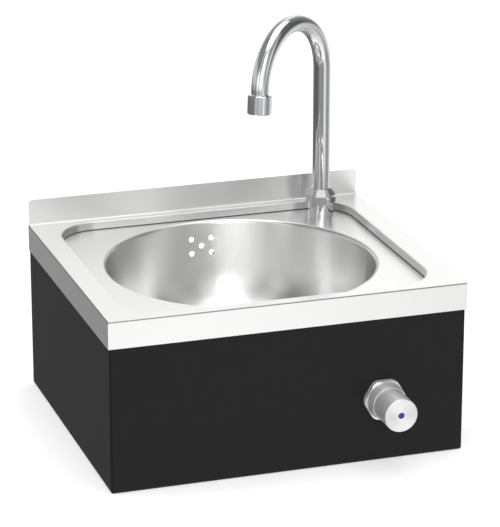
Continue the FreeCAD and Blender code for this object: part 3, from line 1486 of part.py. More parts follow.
def feed_hose():
    """Hose from the valve's outlet to the pillar's shank, with a fitting at both ends."""
    outlet = {
        "x": f"{VALVE_X} + size.outlet_reach",
        "y": f"{VALVE_Y} + size.outlet_axis",
        "z": VALVE_Z,
        "pitch": "90",
    }
    shank = {"x": TAP_X, "y": TAP_Y, "z": f"{FLOOR_TOP} - size.shank_length", "pitch": "180"}
    for end, where in (("valve", outlet), ("tap", shank)):
        hose_fitting(end, where)
    start = Vector(value(f"{outlet['x']} + {HOSE_END}"), value(outlet["y"]), value(VALVE_Z))
    side = start.x - value(HOSE_END) + value(f"{HOSE_END} + size.crimp_length + size.hose_bend")
    tap_x, tap_y = value(TAP_X), value(TAP_Y)
    corners = [
        start,
        Vector(side, start.y, start.z),
        Vector(side, tap_y - value("size.hose_turn"), start.z),
        Vector(tap_x, tap_y, start.z),
        Vector(tap_x, tap_y, value(f"{shank['z']} - {HOSE_END}")),
    ]
    path = rounded_path(corners, value("size.hose_bend"))
    solids = []
    for radius in (value("size.hose_radius"), value("size.hose_bore")):
        section = Part.Wire(Part.makeCircle(radius, corners[0], corners[1] - corners[0]))
        solids.append(path.makePipeShell([section], True, False))
    hose = doc.addObject("Part::Feature", "feed_hose")
    hose.Label = "feed_hose"
    hose.Shape = solids[0].cut(solids[1])
    subparts.append(hose)
    area = math.pi * (value("size.hose_radius") ** 2 - value("size.hose_bore") ** 2)
    print("hose: volume against section and length", round(hose.Shape.Volume / (area * path.Length), 4))


def rounded_path(corners, radius):
    """Wire of straight runs joined by tangent arcs of one radius."""
    edges = []
    here = corners[0]
    for before, corner, after in zip(corners, corners[1:], corners[2:]):
        enter, leave, centre = round_corner(before, corner, after, radius)
        middle = centre + (corner - centre).normalize() * radius
        edges.append(Part.LineSegment(here, enter).toShape())
        edges.append(Part.Arc(enter, middle, leave).toShape())
        here = leave
    edges.append(Part.LineSegment(here, corners[-1]).toShape())
    return Part.Wire(edges)


def hose_fitting(end, where):
    """Flat seal, crimped ferrule and swivel nut at one end of the feed hose."""
    turned(f"hose_seal_{end}", ring_corners("size.hose_bore", "size.hose_nut_thread - 1.5", "0",
                                            "size.hose_seal"), **where)
    bore = "(size.hose_bore - 1)"
    crimp_end = f"({HOSE_END} + size.crimp_length)"
    turned(f"hose_ferrule_{end}", [
        (bore, "size.hose_seal"),
        ("size.hose_nut_thread - 1.2", "size.hose_seal"),
        ("size.hose_nut_thread - 1.2", HOSE_SEAT),
        ("size.hose_radius - 0.5", HOSE_SEAT),
        ("size.hose_radius - 0.5", f"{HOSE_END} - 1"),
        ("size.crimp_radius", f"{HOSE_END} - 1"),
        ("size.crimp_radius", crimp_end),
        ("size.hose_radius", crimp_end),
        ("size.hose_radius", HOSE_END),
        ("size.hose_bore", HOSE_END),
        ("size.hose_bore", f"{crimp_end} - 1"),
        (bore, f"{crimp_end} - 1"),
    ], **where)
    top = f"({HOSE_SEAT} + 2.5)"
    nut = hex_nut(f"hose_nut_{end}", "size.hose_nut_flats", f"({top} - size.hose_nut_length)",
                  "size.hose_nut_length", "size.hose_radius", **where)
    thread = new_sketch(nut, "XY_Plane", "thread", f"{top} - size.hose_nut_length")
    draw_circle(thread, "0", "0", "size.thread_half_inch")
    pocket(nut, thread, "size.hose_nut_length - 2.4", backwards=True)


# ---------------------------------------------------------------- build, check and write


def write_all():
    doc.recompute()
    for thing in doc.Objects:
        if "Invalid" in thing.State or "Error" in thing.State:
            raise RuntimeError(f"{thing.Label} is not up to date: {thing.State}")
    os.makedirs("parts", exist_ok=True)
    for part in subparts:
        shape = part.Shape
        if shape.isNull() or not shape.isValid():
            raise RuntimeError(f"{part.Label} has no valid shape")
        shape.exportStep(f"parts/{part.Label}.step")
        print(part.Label, len(shape.Solids), round(shape.Volume, 1), [round(v, 2) for v in (
            shape.BoundBox.XMin, shape.BoundBox.XMax, shape.BoundBox.YMin, shape.BoundBox.YMax,
            shape.BoundBox.ZMin, shape.BoundBox.ZMax)])


top_frame()
deck_seal()
bowl()
skirt()
rear_rail()
rail_nuts()
waste()
overflow()
tap()
valve()
feed_hose()
write_all()
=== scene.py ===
import bpy
import bmesh
import json
import math
from mathutils import Matrix, Vector


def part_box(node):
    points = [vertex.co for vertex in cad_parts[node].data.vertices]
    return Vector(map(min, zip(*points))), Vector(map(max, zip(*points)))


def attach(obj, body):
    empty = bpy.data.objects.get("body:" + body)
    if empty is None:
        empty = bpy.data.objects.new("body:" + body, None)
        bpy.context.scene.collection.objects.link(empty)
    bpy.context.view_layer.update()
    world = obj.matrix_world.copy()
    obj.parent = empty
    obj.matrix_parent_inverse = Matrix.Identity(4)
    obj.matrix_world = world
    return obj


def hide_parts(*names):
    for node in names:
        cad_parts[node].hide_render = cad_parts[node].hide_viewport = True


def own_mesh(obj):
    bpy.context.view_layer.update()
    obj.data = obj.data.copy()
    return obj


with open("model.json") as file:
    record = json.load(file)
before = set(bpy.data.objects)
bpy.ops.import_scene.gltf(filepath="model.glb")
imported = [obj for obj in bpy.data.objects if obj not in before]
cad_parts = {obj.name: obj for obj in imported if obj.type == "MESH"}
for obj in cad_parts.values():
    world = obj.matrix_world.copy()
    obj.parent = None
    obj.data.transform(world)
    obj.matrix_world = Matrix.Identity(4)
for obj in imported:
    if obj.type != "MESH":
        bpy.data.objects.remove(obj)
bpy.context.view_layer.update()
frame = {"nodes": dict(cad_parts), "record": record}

nodes = frame["nodes"]
mm = 0.001
print("frame loaded:", len(nodes), "pieces")


def linearColor(hexText, alpha=1.0):
    parts = [int(hexText[i:i + 2], 16) / 255 for i in (0, 2, 4)]
    return tuple(c / 12.92 if c <= 0.04045 else ((c + 0.055) / 1.055) ** 2.4 for c in parts) + (alpha,)


def addNode(tree, kind, inputs=None, **settings):
    node = tree.nodes.new(kind)
    for name, setting in settings.items():
        setattr(node, name, setting)
    for name, value in (inputs or {}).items():
        socket = node.inputs[name]
        if isinstance(value, bpy.types.NodeSocket):
            tree.links.new(value, socket)
        else:
            socket.default_value = value
    return node


def newMaterial(name, metallic=0.0, **sockets):
    material = bpy.data.materials.new(name)
    material.use_nodes = True
    tree = material.node_tree
    tree.nodes.clear()
    shader = addNode(tree, "ShaderNodeBsdfPrincipled", {"Metallic": metallic})
    for socketName, value in sockets.items():
        shader.inputs[socketName.replace("_", " ")].default_value = value
    addNode(tree, "ShaderNodeOutputMaterial", {"Surface": shader.outputs["BSDF"]})
    return material, tree, shader


def finishSurface(tree, shader, pattern, spec, shadeLineMask=None):
    # one pattern drives colour, roughness and height, each between the two values in the dictionary
    tone = addNode(tree, "ShaderNodeMix", {"Factor": pattern, 6: linearColor(spec["shade"]),
                                           7: linearColor(spec["color"])}, data_type="RGBA")
    # painted shade: where the mask is 1 the colour turns dark grey, a painted shade line on the folds
    if shadeLineMask:
        tone = addNode(tree, "ShaderNodeMix", {"Factor": shadeLineMask, 6: tone.outputs[2], 7: linearColor(spec["foldColor"])},
                       data_type="RGBA")
    rough = addNode(tree, "ShaderNodeMapRange", {"Value": pattern, "To Min": spec["roughness"][0],
                                                 "To Max": spec["roughness"][1]})
    bump = addNode(tree, "ShaderNodeBump", {"Height": pattern, "Distance": spec["depth"], "Strength": 1.0})
    tree.links.new(tone.outputs[2], shader.inputs["Base Color"])
    tree.links.new(rough.outputs[0], shader.inputs["Roughness"])
    tree.links.new(bump.outputs["Normal"], shader.inputs["Normal"])


def smearAcross(tree, shader, lineDirection, facing):
    # grit lines scatter light across themselves, so highlights are long at right angles to the lines
    across = addNode(tree, "ShaderNodeVectorMath", {0: facing, 1: lineDirection}, operation="CROSS_PRODUCT")
    tree.links.new(across.outputs[0], shader.inputs["Tangent"])


def dress(material, *names):
    for name in names:
        mesh = nodes[name].data
        mesh.materials.clear()
        mesh.materials.append(material)


# folded sheet stainless: satin brushed, so reflections smear across fine parallel grit lines
sheetSteel = {"color": "f1f1f0", "shade": "e9e9e8", "roughness": (0.3, 0.36), "depth": 0.002 * mm, "smear": 0.85,
              "lineLength": 60 * mm, "lineWidth": 0.5 * mm,  # the real lines are finer than 0.1 mm
              "foldColor": "8e8e8d", "foldWidth": 2 * mm}  # painted shade: a dark grey line painted over the outside of each fold


def paintedFoldShadeMask(tree, place, facing, spec):
    # 1 on the outside of the front and side folds, where the normal is between level and upright: there a painted
    # shade line darkens the colour
    low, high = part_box("top_frame")
    at = addNode(tree, "ShaderNodeSeparateXYZ", {"Vector": place})
    upward = addNode(tree, "ShaderNodeSeparateXYZ", {"Vector": facing}).outputs["Z"]
    fromMiddle = addNode(tree, "ShaderNodeMath", {0: at.outputs["X"]}, operation="ABSOLUTE").outputs[0]
    atSide = addNode(tree, "ShaderNodeMath", {0: fromMiddle, 1: high[0] - spec["foldWidth"]},
                     operation="GREATER_THAN").outputs[0]
    atFront = addNode(tree, "ShaderNodeMath", {0: at.outputs["Y"], 1: low[1] + spec["foldWidth"]},
                      operation="LESS_THAN").outputs[0]
    atEdge = addNode(tree, "ShaderNodeMath", {0: atSide, 1: atFront}, operation="MAXIMUM").outputs[0]
    slanted = addNode(tree, "ShaderNodeMath", {0: upward, 1: 0.55, 2: 0.42}, operation="COMPARE").outputs[0]
    return addNode(tree, "ShaderNodeMath", {0: atEdge, 1: slanted}, operation="MULTIPLY").outputs[0]


def brushedSheet():
    spec = sheetSteel
    material, tree, shader = newMaterial("stainlessSheetBrushed", metallic=1.0, Anisotropic=spec["smear"])
    place = addNode(tree, "ShaderNodeTexCoord").outputs["Object"]
    facing = addNode(tree, "ShaderNodeNewGeometry").outputs["Normal"]
    sideways = addNode(tree, "ShaderNodeSeparateXYZ", {"Vector": facing}).outputs["X"]
    sideways = addNode(tree, "ShaderNodeMath", {0: sideways}, operation="ABSOLUTE").outputs[0]
    isSide = addNode(tree, "ShaderNodeMath", {0: sideways, 1: 0.7}, operation="GREATER_THAN").outputs[0]
    long, fine = 1 / spec["lineLength"], 1 / spec["lineWidth"]
    frontLines = addNode(tree, "ShaderNodeMapping", {"Vector": place, "Scale": (long, fine, fine)})
    sideLines = addNode(tree, "ShaderNodeMapping", {"Vector": place, "Scale": (fine, long, fine)})
    lines = addNode(tree, "ShaderNodeMix", {"Factor": isSide, 4: frontLines.outputs[0], 5: sideLines.outputs[0]},
                    data_type="VECTOR")
    grain = addNode(tree, "ShaderNodeTexNoise", {"Vector": lines.outputs[1], "Scale": 1.0, "Detail": 3.0})
    finishSurface(tree, shader, grain.outputs["Fac"], spec, paintedFoldShadeMask(tree, place, facing, spec))
    direction = addNode(tree, "ShaderNodeMix", {"Factor": isSide, 4: (1, 0, 0), 5: (0, 1, 0)}, data_type="VECTOR")
    smearAcross(tree, shader, direction.outputs[1], facing)
    return material


# pressed bowl: deep drawn, then polished round its axis, so the lines are rings and highlights stand upright
bowlSteel = {"color": "f1f1f0", "shade": "ebebea", "roughness": (0.26, 0.32), "depth": 0.002 * mm, "smear": 0.85,
             "lineLength": 60 * mm, "lineWidth": 0.6 * mm, "radius": 151 * mm}


def spunBowl():
    spec = bowlSteel
    low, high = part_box("bowl")
    centre = ((low[0] + high[0]) / 2, (low[1] + high[1]) / 2 - 0.5 * mm, 0)
    material, tree, shader = newMaterial("stainlessBowlPolished", metallic=1.0, Anisotropic=spec["smear"])
    place = addNode(tree, "ShaderNodeTexCoord").outputs["Object"]
    facing = addNode(tree, "ShaderNodeNewGeometry").outputs["Normal"]
    moved = addNode(tree, "ShaderNodeVectorMath", {0: place, 1: centre}, operation="SUBTRACT").outputs[0]
    axes = addNode(tree, "ShaderNodeSeparateXYZ", {"Vector": moved})
    flat = addNode(tree, "ShaderNodeCombineXYZ", {"X": axes.outputs["X"], "Y": axes.outputs["Y"]}).outputs[0]
    radius = addNode(tree, "ShaderNodeVectorMath", {0: flat}, operation="LENGTH").outputs["Value"]
    run = addNode(tree, "ShaderNodeMath", {0: radius, 1: axes.outputs["Z"]}, operation="SUBTRACT").outputs[0]
    long, fine = 1 / spec["lineLength"], 1 / spec["lineWidth"]
    rings = addNode(tree, "ShaderNodeCombineXYZ", {"X": axes.outputs["X"], "Y": axes.outputs["Y"], "Z": run})
    rings = addNode(tree, "ShaderNodeMapping", {"Vector": rings.outputs[0], "Scale": (long, long, fine)})
    lines = addNode(tree, "ShaderNodeMapping", {"Vector": place, "Scale": (long, fine, fine)})
    isTray = addNode(tree, "ShaderNodeMath", {0: radius, 1: spec["radius"]}, operation="GREATER_THAN").outputs[0]
    both = addNode(tree, "ShaderNodeMix", {"Factor": isTray, 4: rings.outputs[0], 5: lines.outputs[0]},
                   data_type="VECTOR")
    grain = addNode(tree, "ShaderNodeTexNoise", {"Vector": both.outputs[1], "Scale": 1.0, "Detail": 3.0})
    finishSurface(tree, shader, grain.outputs["Fac"], spec)
    around = addNode(tree, "ShaderNodeVectorMath", {0: (0, 0, 1), 1: flat}, operation="CROSS_PRODUCT").outputs[0]
    direction = addNode(tree, "ShaderNodeMix", {"Factor": isTray, 4: around, 5: (1, 0, 0)}, data_type="VECTOR")
    smearAcross(tree, shader, direction.outputs[1], facing)
    return material


# powder coat: baked polyester, a very slight orange peel that softens reflections
powderCoat = {"color": "1e1f1e", "shade": "1c1d1c", "roughness": (0.3, 0.42), "depth": 0.02 * mm,
              "peel": 1.6 * mm}


def blackPowderCoat():
    spec = powderCoat
    material, tree, shader = newMaterial("polyesterPowderCoat", Specular_IOR_Level=0.16)
    place = addNode(tree, "ShaderNodeTexCoord").outputs["Object"]
    peel = addNode(tree, "ShaderNodeTexNoise", {"Vector": place, "Scale": 1 / spec["peel"], "Detail": 2.0})
    finishSurface(tree, shader, peel.outputs["Fac"], spec)
    return material


# plated brass, mirror polished: clean sharp reflections with faint wiping marks
mirrorChrome = {"color": "e2e3e4", "shade": "dcdddf", "roughness": (0.03, 0.08), "depth": 0.004 * mm,
                "marks": 14 * mm}


def mirrorPlated():
    spec = mirrorChrome
    material, tree, shader = newMaterial("chromePlatedPolished", metallic=1.0)
    place = addNode(tree, "ShaderNodeTexCoord").outputs["Object"]
    marks = addNode(tree, "ShaderNodeTexNoise", {"Vector": place, "Scale": 1 / spec["marks"], "Detail": 4.0})
    finishSurface(tree, shader, marks.outputs["Fac"], spec)
    return material


# turned and blasted zinc, chrome plated: rings round the axis draw reflections out along the piece, and the
# blasting scatters part of the light, so the side stays grey in front of the black skirt
turnedChrome = {"color": "fafafa", "shade": "f2f2f2", "roughness": (0.42, 0.5), "depth": 0.003 * mm, "smear": 0.6,
                "lineLength": 20 * mm, "lineWidth": 0.5 * mm}


def turnedPlated(nodeName):
    spec = turnedChrome
    low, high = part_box(nodeName)
    centre = ((low[0] + high[0]) / 2, 0, (low[2] + high[2]) / 2)
    material, tree, shader = newMaterial("chromePlatedTurned", metallic=0.75, Anisotropic=spec["smear"])
    place = addNode(tree, "ShaderNodeTexCoord").outputs["Object"]
    facing = addNode(tree, "ShaderNodeNewGeometry").outputs["Normal"]
    moved = addNode(tree, "ShaderNodeVectorMath", {0: place, 1: centre}, operation="SUBTRACT").outputs[0]
    axes = addNode(tree, "ShaderNodeSeparateXYZ", {"Vector": moved})
    flat = addNode(tree, "ShaderNodeCombineXYZ", {"X": axes.outputs["X"], "Z": axes.outputs["Z"]}).outputs[0]
    radius = addNode(tree, "ShaderNodeVectorMath", {0: flat}, operation="LENGTH").outputs["Value"]
    run = addNode(tree, "ShaderNodeMath", {0: radius, 1: axes.outputs["Y"]}, operation="ADD").outputs[0]
    long, fine = 1 / spec["lineLength"], 1 / spec["lineWidth"]
    rings = addNode(tree, "ShaderNodeCombineXYZ", {"X": axes.outputs["X"], "Y": run, "Z": axes.outputs["Z"]})
    rings = addNode(tree, "ShaderNodeMapping", {"Vector": rings.outputs[0], "Scale": (long, fine, long)})
    grain = addNode(tree, "ShaderNodeTexNoise", {"Vector": rings.outputs[0], "Scale": 1.0, "Detail": 2.0})
    finishSurface(tree, shader, grain.outputs["Fac"], spec)
    around = addNode(tree, "ShaderNodeVectorMath", {0: (0, 1, 0), 1: flat}, operation="CROSS_PRODUCT").outputs[0]
    smearAcross(tree, shader, around, facing)
    return material


# plain finishes of the hidden pieces: one noise, its size in millimetres
plainFinishes = {
    "steelZincPlated": {"color": "b9bcbe", "shade": "a2a6a9", "roughness": (0.32, 0.48), "depth": 0.02 * mm,
                        "spots": 3.0 * mm, "metallic": 1.0},  # spangle of the zinc
    "brassMachined": {"color": "c9a561", "shade": "b08b49", "roughness": (0.22, 0.34), "depth": 0.01 * mm,
                      "spots": 1.5 * mm, "metallic": 1.0},
    "stainlessDrawn": {"color": "c8c8c8", "shade": "b0b0b0", "roughness": (0.18, 0.3), "depth": 0.01 * mm,
                       "spots": 0.8 * mm, "metallic": 1.0},
    "polypropyleneWhite": {"color": "ebebe8", "shade": "e2e2de", "roughness": (0.4, 0.5), "depth": 0.03 * mm,
                           "spots": 1.2 * mm, "metallic": 0.0},  # fine spark texture of the mould
    "pvcHoseGrey": {"color": "8a8c8e", "shade": "7c7e80", "roughness": (0.42, 0.55), "depth": 0.04 * mm,
                    "spots": 2.5 * mm, "metallic": 0.0},
    "braidStainless": {"color": "b4b4b4", "shade": "6e6e6e", "roughness": (0.3, 0.45), "depth": 0.3 * mm,
                       "braid": 1.6 * mm, "metallic": 1.0},
    "epdmRubber": {"color": "1a1a1a", "shade": "121212", "roughness": (0.55, 0.7), "depth": 0.03 * mm,
                   "spots": 0.8 * mm, "metallic": 0.0},
    "absBlue": {"color": "32359a", "shade": "2c2f8c", "roughness": (0.18, 0.26), "depth": 0.01 * mm,
                "spots": 1.0 * mm, "metallic": 0.0},
    "fibreRed": {"color": "8c3a2c", "shade": "7a2f23", "roughness": (0.7, 0.85), "depth": 0.05 * mm,
                 "spots": 0.6 * mm, "metallic": 0.0},
}


def plainFinish(name):
    spec = plainFinishes[name]
    material, tree, shader = newMaterial(name, metallic=spec["metallic"])
    place = addNode(tree, "ShaderNodeTexCoord").outputs["Object"]
    if "braid" in spec:  # wire bundles that cross on two slants
        slants = [addNode(tree, "ShaderNodeMapping", {"Vector": place, "Rotation": (0, 0, turn)}).outputs[0]
                  for turn in (0, math.pi / 2)]
        waves = [addNode(tree, "ShaderNodeTexWave", {"Vector": slant, "Scale": 1 / spec["braid"] / 20},
                         bands_direction="DIAGONAL").outputs["Fac"] for slant in slants]
        pattern = addNode(tree, "ShaderNodeMath", {0: waves[0], 1: waves[1]}, operation="MAXIMUM").outputs[0]
    else:
        pattern = addNode(tree, "ShaderNodeTexNoise", {"Vector": place, "Scale": 1 / spec["spots"],
                                                       "Detail": 3.0}).outputs["Fac"]
    finishSurface(tree, shader, pattern, spec)
    return material


# natural polypropylene, moulded thin, with painted light: an emission makes it glow, so it reads white in the holes
collectorPlastic = {"color": "f4f4f2", "shade": "ecece9", "roughness": (0.4, 0.5), "depth": 0.02 * mm,
                    "spots": 1.5 * mm, "glow": 0.7}


def paintedGlowCup():
    spec = collectorPlastic
    # painted light: the cup's own colour is also emitted, so it glows white though it is no lamp
    material, tree, shader = newMaterial("polypropyleneNatural", Emission_Color=linearColor(spec["color"]),
                                         Emission_Strength=spec["glow"])
    place = addNode(tree, "ShaderNodeTexCoord").outputs["Object"]
    spots = addNode(tree, "ShaderNodeTexNoise", {"Vector": place, "Scale": 1 / spec["spots"], "Detail": 3.0})
    finishSurface(tree, shader, spots.outputs["Fac"], spec)
    return material


sheetFinish = brushedSheet()
bowlFinish = spunBowl()
finishes = {name: plainFinish(name) for name in plainFinishes}
dress(sheetFinish, "top_frame")
dress(bowlFinish, "bowl", "waste_strainer", "waste_screw")
dress(blackPowderCoat(), "skirt")
dress(mirrorPlated(), "spout_tube", "aerator_housing", "union_nut", "pillar")
dress(turnedPlated("push_button"), "push_button", "collar_nut")
dress(finishes["steelZincPlated"], "rear_rail", "rail_nuts", "pillar_lock_nut", "pillar_washer",
      "overflow_clip_upper", "overflow_clip_lower")
dress(finishes["brassMachined"], "valve_body", "inlet_nipple", "spout_ferrule", "hose_nut_valve", "hose_nut_tap",
      "hose_ferrule_valve", "hose_ferrule_tap")
dress(finishes["stainlessDrawn"], "valve_stem", "return_spring", "cap_screw")
dress(finishes["absBlue"], "button_index")
dress(finishes["polypropyleneWhite"], "waste_body", "aerator_insert", "slip_washer",
      "inlet_filter")
dress(paintedGlowCup(), "overflow_collector")
dress(finishes["pvcHoseGrey"], "overflow_hose")
dress(finishes["braidStainless"], "feed_hose")
dress(finishes["epdmRubber"], "deck_seal", "overflow_gasket", "waste_upper_seal", "waste_lower_gasket",
      "pillar_seal", "spout_o_ring", "stem_seal", "valve_washer", "timing_cup", "valve_disc", "aerator_washer",
      "hose_seal_valve", "hose_seal_tap")
dress(finishes["fibreRed"], "inlet_seal")
print("finishes done")


# the solids carry each thread as its crest cylinder, so the turns stand proud of it by a small crest
threads = {
    "wasteTailThread": {"mount": "waste_outlet", "pitch": 2.31 * mm, "crest": 0.35 * mm, "slot": "white_plastic",
                        "finish": "polypropyleneWhite"},
    "inletLegThread": {"mount": "water_inlet", "pitch": 1.81 * mm, "crest": 0.3 * mm, "slot": "brass",
                       "finish": "brassMachined"},
    "pillarShankThread": {"between": ("hose_nut_tap", "pillar_lock_nut"), "on": "pillar", "radius": 10.48 * mm,
                          "pitch": 1.81 * mm, "crest": 0.3 * mm, "slot": "polished_chrome",
                          "finish": "chromePlatedPolished"},
}


def threadPlace(spec):
    # axis, radius and the two ends, from the mount or from the nuts that leave the thread bare between them
    if "mount" in spec:
        mount = next(m for m in frame["record"]["mounts"] if m["name"] == spec["mount"])
        x, y, z = mount["pos_m"]
        half = mount["dims"]["length_mm"] * mm / 2
        return (x, y), mount["dims"]["r_mm"] * mm, z - half, z + half
    low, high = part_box(spec["on"])
    below, above = spec["between"]
    return ((low[0] + high[0]) / 2, (low[1] + high[1]) / 2), spec["radius"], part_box(below)[1][2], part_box(above)[0][2]


def pieceFromMesh(name, mesh, spec, smooth=False):
    bmesh.ops.recalc_face_normals(mesh, faces=mesh.faces)
    data = bpy.data.meshes.new(name)
    mesh.to_mesh(data)
    mesh.free()
    data.materials.append(bpy.data.materials[spec["finish"]])
    data.polygons.foreach_set("use_smooth", [smooth] * len(data.polygons))
    piece = bpy.data.objects.new(name, data)
    bpy.context.scene.collection.objects.link(piece)
    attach(piece, "sink")
    return piece


def threadRidge(name, spec, perTurn=40, flank=0.4, root=0.1 * mm, fadeTurns=0.6):
    (x, y), radius, start, end = threadPlace(spec)
    pitch = spec["pitch"]
    halfWidth = flank * pitch
    start, end = start + halfWidth + root, end - halfWidth - root
    steps = int((end - start) / pitch * perTurn)
    mesh = bmesh.new()
    rows = []
    for i in range(steps + 1):
        turn = 2 * math.pi * i / perTurn
        fade = min(1, i / (fadeTurns * perTurn), (steps - i) / (fadeTurns * perTurn))
        crest = radius + spec["crest"] * max(fade, 0.05)
        level = start + pitch * i / perTurn
        rows.append([mesh.verts.new((x + r * math.cos(turn), y + r * math.sin(turn), level + rise))
                     for r, rise in ((radius - root, -halfWidth), (crest, -halfWidth * 0.15),
                                     (crest, halfWidth * 0.15), (radius - root, halfWidth))])
    for first, second in zip(rows, rows[1:]):
        for k in range(4):
            mesh.faces.new((first[k], second[k], second[(k + 1) % 4], first[(k + 1) % 4]))
    mesh.faces.new(rows[0])
    mesh.faces.new(rows[-1])
    pieceFromMesh(name, mesh, spec)


for threadName, threadSpec in threads.items():
    threadRidge(threadName, threadSpec)
print("threads done")


returnCoil = {"turns": 5, "wire": 0.7 * mm, "stroke": 6 * mm, "finish": "stainlessDrawn",
              "slot": "stainless_bright"}


def compressionCoil(name, spec, replaced, perTurn=40, around=12):
    # the coil takes the solid spring's place, as only a piece of its own can close up when the button goes in
    low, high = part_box(replaced)
    x, z = (low[0] + high[0]) / 2, (low[2] + high[2]) / 2
    wire, steps = spec["wire"], spec["turns"] * perTurn
    radius = (high[0] - low[0]) / 2 - wire
    front, back = low[1] + wire, high[1] - wire
    rise = (back - front) / (2 * math.pi * spec["turns"])
    mesh = bmesh.new()
    rows = []
    for i in range(steps + 1):
        turn = 2 * math.pi * i / perTurn
        middle = Vector((x + radius * math.cos(turn), front + rise * turn, z + radius * math.sin(turn)))
        heading = Vector((-radius * math.sin(turn), rise, radius * math.cos(turn))).normalized()
        outward = Vector((math.cos(turn), 0, math.sin(turn)))
        across = heading.cross(outward)
        rows.append([mesh.verts.new(middle + wire * (outward * math.cos(a) + across * math.sin(a)))
                     for a in (2 * math.pi * k / around for k in range(around))])
    for first, second in zip(rows, rows[1:]):
        for k in range(around):
            mesh.faces.new((first[k], second[k], second[(k + 1) % around], first[(k + 1) % around]))
    mesh.faces.new(rows[0])
    mesh.faces.new(rows[-1])
    piece = pieceFromMesh(name, mesh, spec, smooth=True)
    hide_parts(replaced)
    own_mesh(piece)


compressionCoil("returnCoil", returnCoil, "return_spring")
print("return coil done")


# studio: floor at the skirt's lower edge, white to the camera, two soft lamps and a grey room in reflections
studio = {"floorSize": 14.0, "floorLevel": -153 * mm, "floorColor": "f2f2f2", "floorLift": 0.37,
          "ambient": 0.62, "background": 1.0}
lamps = {
    "overhead": {"place": (0.3, -0.3, 2.4), "aim": (0, -0.17, 0), "size": (2.6, 2.2), "power": 24},
    "front": {"place": (-0.15, -2.7, 1.7), "aim": (0, -0.17, 0.05), "size": (0.7, 1.2), "power": 10},
    "leftSide": {"place": (-2.1, 0.1, 1.2), "aim": (0, -0.17, 0), "size": (1.0, 1.4), "power": 10, "inMetal": False},
}
# brightness that metal sees round the room: degrees from straight ahead of the sink, positive to its right
roomRings = {
    "floor": [(-180, 0.2), (-110, 0.3), (-40, 0.8), (4, 0.9), (14, 1.2), (20.5, 3.3), (26, 1.3), (50, 1.0),
              (110, 0.6), (180, 0.2)],
    "low": [(-180, 0.26), (-150, 0.2), (-112, 0.14), (-80, 0.12), (-60, 0.26), (-42, 0.38), (-16, 0.3), (2, 0.45),
            (12, 0.8), (21, 1.3), (29, 0.8), (42, 0.48), (58, 0.36), (74, 0.36), (92, 0.6), (112, 1.0),
            (135, 1.0), (155, 0.6), (180, 0.26)],
    "middle": [(-180, 0.9), (-160, 0.85), (-139, 0.75), (-112, 0.7), (-98, 0.75), (-84, 0.55), (-70, 0.5),
               (-54, 1.8), (-42, 0.7), (-28, 1.4), (-18, 2.0), (-6, 1.9), (6, 1.1), (18, 0.6), (34, 0.4), (52, 1.0),
               (66, 0.15), (93, 0.1), (119, 0.3), (140, 1.3), (157, 1.6), (164, 1.2), (170, 1.1), (180, 0.9)],
    "high": [(-180, 0.4), (-140, 0.3), (-110, 0.2), (-97, 0.5), (-84, 0.2), (-68, 0.15), (-54, 0.7), (-38, 0.3),
             (-12, 1.3), (12, 0.8), (30, 0.3), (54, 0.5), (68, 0.15), (90, 0.15), (120, 0.3), (146, 1.1),
             (157, 1.1), (166, 0.75), (180, 0.4)],
}
# sine of the height at which each ring begins and is full
roomHeights = {"low": (-0.62, -0.42), "middle": (-0.22, 0.0), "high": (0.22, 0.45)}


def roomRing(tree, turn, stops):
    ring = addNode(tree, "ShaderNodeValToRGB", {"Fac": turn})
    ramp = ring.color_ramp
    while len(ramp.elements) > 1:
        ramp.elements.remove(ramp.elements[-1])
    for i, (degrees, level) in enumerate(stops):
        position = (degrees + 180) / 360
        stop = ramp.elements[0] if i == 0 else ramp.elements.new(position)
        stop.position = position
        stop.color = (level, level, level, 1)
    return ring.outputs["Color"]


def makeWorld():
    world = bpy.data.worlds.new("studioRoom")
    bpy.context.scene.world = world
    world.use_nodes = True
    tree = world.node_tree
    tree.nodes.clear()
    path = addNode(tree, "ShaderNodeLightPath")
    direction = addNode(tree, "ShaderNodeTexCoord").outputs["Generated"]
    axes = addNode(tree, "ShaderNodeSeparateXYZ", {"Vector": direction})
    ahead = addNode(tree, "ShaderNodeMath", {0: axes.outputs["Y"], 1: -1.0}, operation="MULTIPLY").outputs[0]
    turn = addNode(tree, "ShaderNodeMath", {0: axes.outputs["X"], 1: ahead}, operation="ARCTAN2").outputs[0]
    turn = addNode(tree, "ShaderNodeMapRange", {"Value": turn, "From Min": -math.pi, "From Max": math.pi}).outputs[0]
    room = roomRing(tree, turn, roomRings["floor"])
    for name, (fadeStart, fadeEnd) in roomHeights.items():
        fade = addNode(tree, "ShaderNodeMapRange", {"Value": axes.outputs["Z"], "From Min": fadeStart,
                                                    "From Max": fadeEnd}).outputs[0]
        room = addNode(tree, "ShaderNodeMix", {"Factor": fade, 6: room, 7: roomRing(tree, turn, roomRings[name])},
                       data_type="RGBA").outputs[2]
    ambient = (studio["ambient"],) * 3 + (1,)
    room = addNode(tree, "ShaderNodeMix", {"Factor": path.outputs["Is Glossy Ray"], 6: ambient, 7: room},
                   data_type="RGBA").outputs[2]
    seen = addNode(tree, "ShaderNodeMath", {0: path.outputs["Is Camera Ray"], 1: path.outputs["Is Transmission Ray"]},
                   operation="MAXIMUM").outputs[0]
    white = (studio["background"],) * 3 + (1,)
    room = addNode(tree, "ShaderNodeMix", {"Factor": seen, 6: room, 7: white}, data_type="RGBA").outputs[2]
    light = addNode(tree, "ShaderNodeBackground", {"Color": room, "Strength": 1.0})
    addNode(tree, "ShaderNodeOutputWorld", {"Surface": light.outputs[0]})


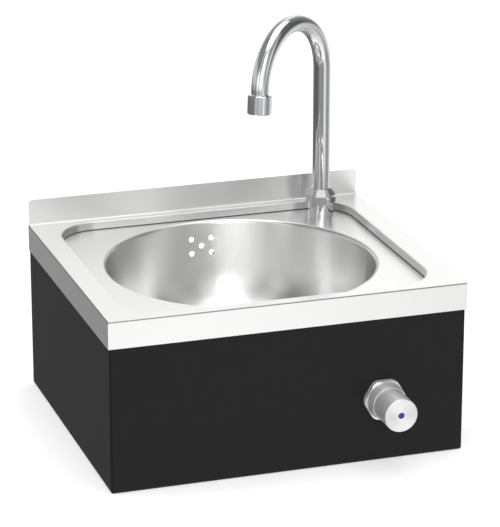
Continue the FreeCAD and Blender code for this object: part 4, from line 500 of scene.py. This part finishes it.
def makeFloor():
    mesh = bpy.data.meshes.new("studioFloor")
    half = studio["floorSize"] / 2
    level = studio["floorLevel"]
    mesh.from_pydata([(-half, -half, level), (half, -half, level), (half, half, level), (-half, half, level)], [],
                     [(0, 1, 2, 3)])
    floor = bpy.data.objects.new("studioFloor", mesh)
    bpy.context.scene.collection.objects.link(floor)
    material = bpy.data.materials.new("paintedFloorMatt")
    material.use_nodes = True
    tree = material.node_tree
    tree.nodes.clear()
    path = addNode(tree, "ShaderNodeLightPath")
    matt = addNode(tree, "ShaderNodeBsdfDiffuse", {"Color": linearColor(studio["floorColor"])})
    seen = addNode(tree, "ShaderNodeMath", {0: path.outputs["Is Camera Ray"], 1: path.outputs["Is Transmission Ray"]},
                   operation="MAXIMUM").outputs[0]
    lift = addNode(tree, "ShaderNodeMath", {0: seen, 1: studio["floorLift"]}, operation="MULTIPLY").outputs[0]
    glow = addNode(tree, "ShaderNodeEmission", {"Color": (1, 1, 1, 1), "Strength": lift})
    both = addNode(tree, "ShaderNodeAddShader")
    tree.links.new(matt.outputs[0], both.inputs[0])
    tree.links.new(glow.outputs[0], both.inputs[1])
    addNode(tree, "ShaderNodeOutputMaterial", {"Surface": both.outputs[0]})
    mesh.materials.append(material)
    floor.visible_glossy = False  # metal sees the room's ring instead


def makeLamp(name, spec):
    light = bpy.data.lights.new(name, "AREA")
    light.shape = "RECTANGLE"
    light.size, light.size_y = spec["size"]
    light.energy = spec["power"]
    lamp = bpy.data.objects.new(name, light)
    lamp.location = spec["place"]
    away = Vector(spec["place"]) - Vector(spec["aim"])
    lamp.rotation_euler = away.to_track_quat("Z", "Y").to_euler()
    lamp.visible_glossy = spec.get("inMetal", True)
    bpy.context.scene.collection.objects.link(lamp)


cameraSpec = {"place": (-876.85 * mm, -2860.82 * mm, 994.35 * mm), "azimuth": -18.256, "elevation": 18.861,
              "roll": 0.032, "lens": 184.1}


def makeCamera():
    spec = cameraSpec
    turn, rise, roll = (math.radians(spec[key]) for key in ("azimuth", "elevation", "roll"))
    back = Vector((math.sin(turn) * math.cos(rise), -math.cos(turn) * math.cos(rise), math.sin(rise)))
    right = (-back).cross(Vector((0, 0, 1))).normalized()
    up = right.cross(-back)
    tilted = right * math.cos(roll) + up * math.sin(roll)
    upright = up * math.cos(roll) - right * math.sin(roll)
    lensData = bpy.data.cameras.new("photoCamera")
    lensData.sensor_fit = "AUTO"
    lensData.sensor_width = 36
    lensData.lens = spec["lens"]
    camera = bpy.data.objects.new("photoCamera", lensData)
    camera.matrix_world = Matrix.Translation(spec["place"]) @ Matrix((tilted, upright, back)).transposed().to_4x4()
    bpy.context.scene.collection.objects.link(camera)
    bpy.context.scene.camera = camera


makeWorld()
makeFloor()
for lampName, lampSpec in lamps.items():
    makeLamp(lampName, lampSpec)
makeCamera()
bpy.context.scene.view_settings.view_transform = "Standard"
print("studio done")
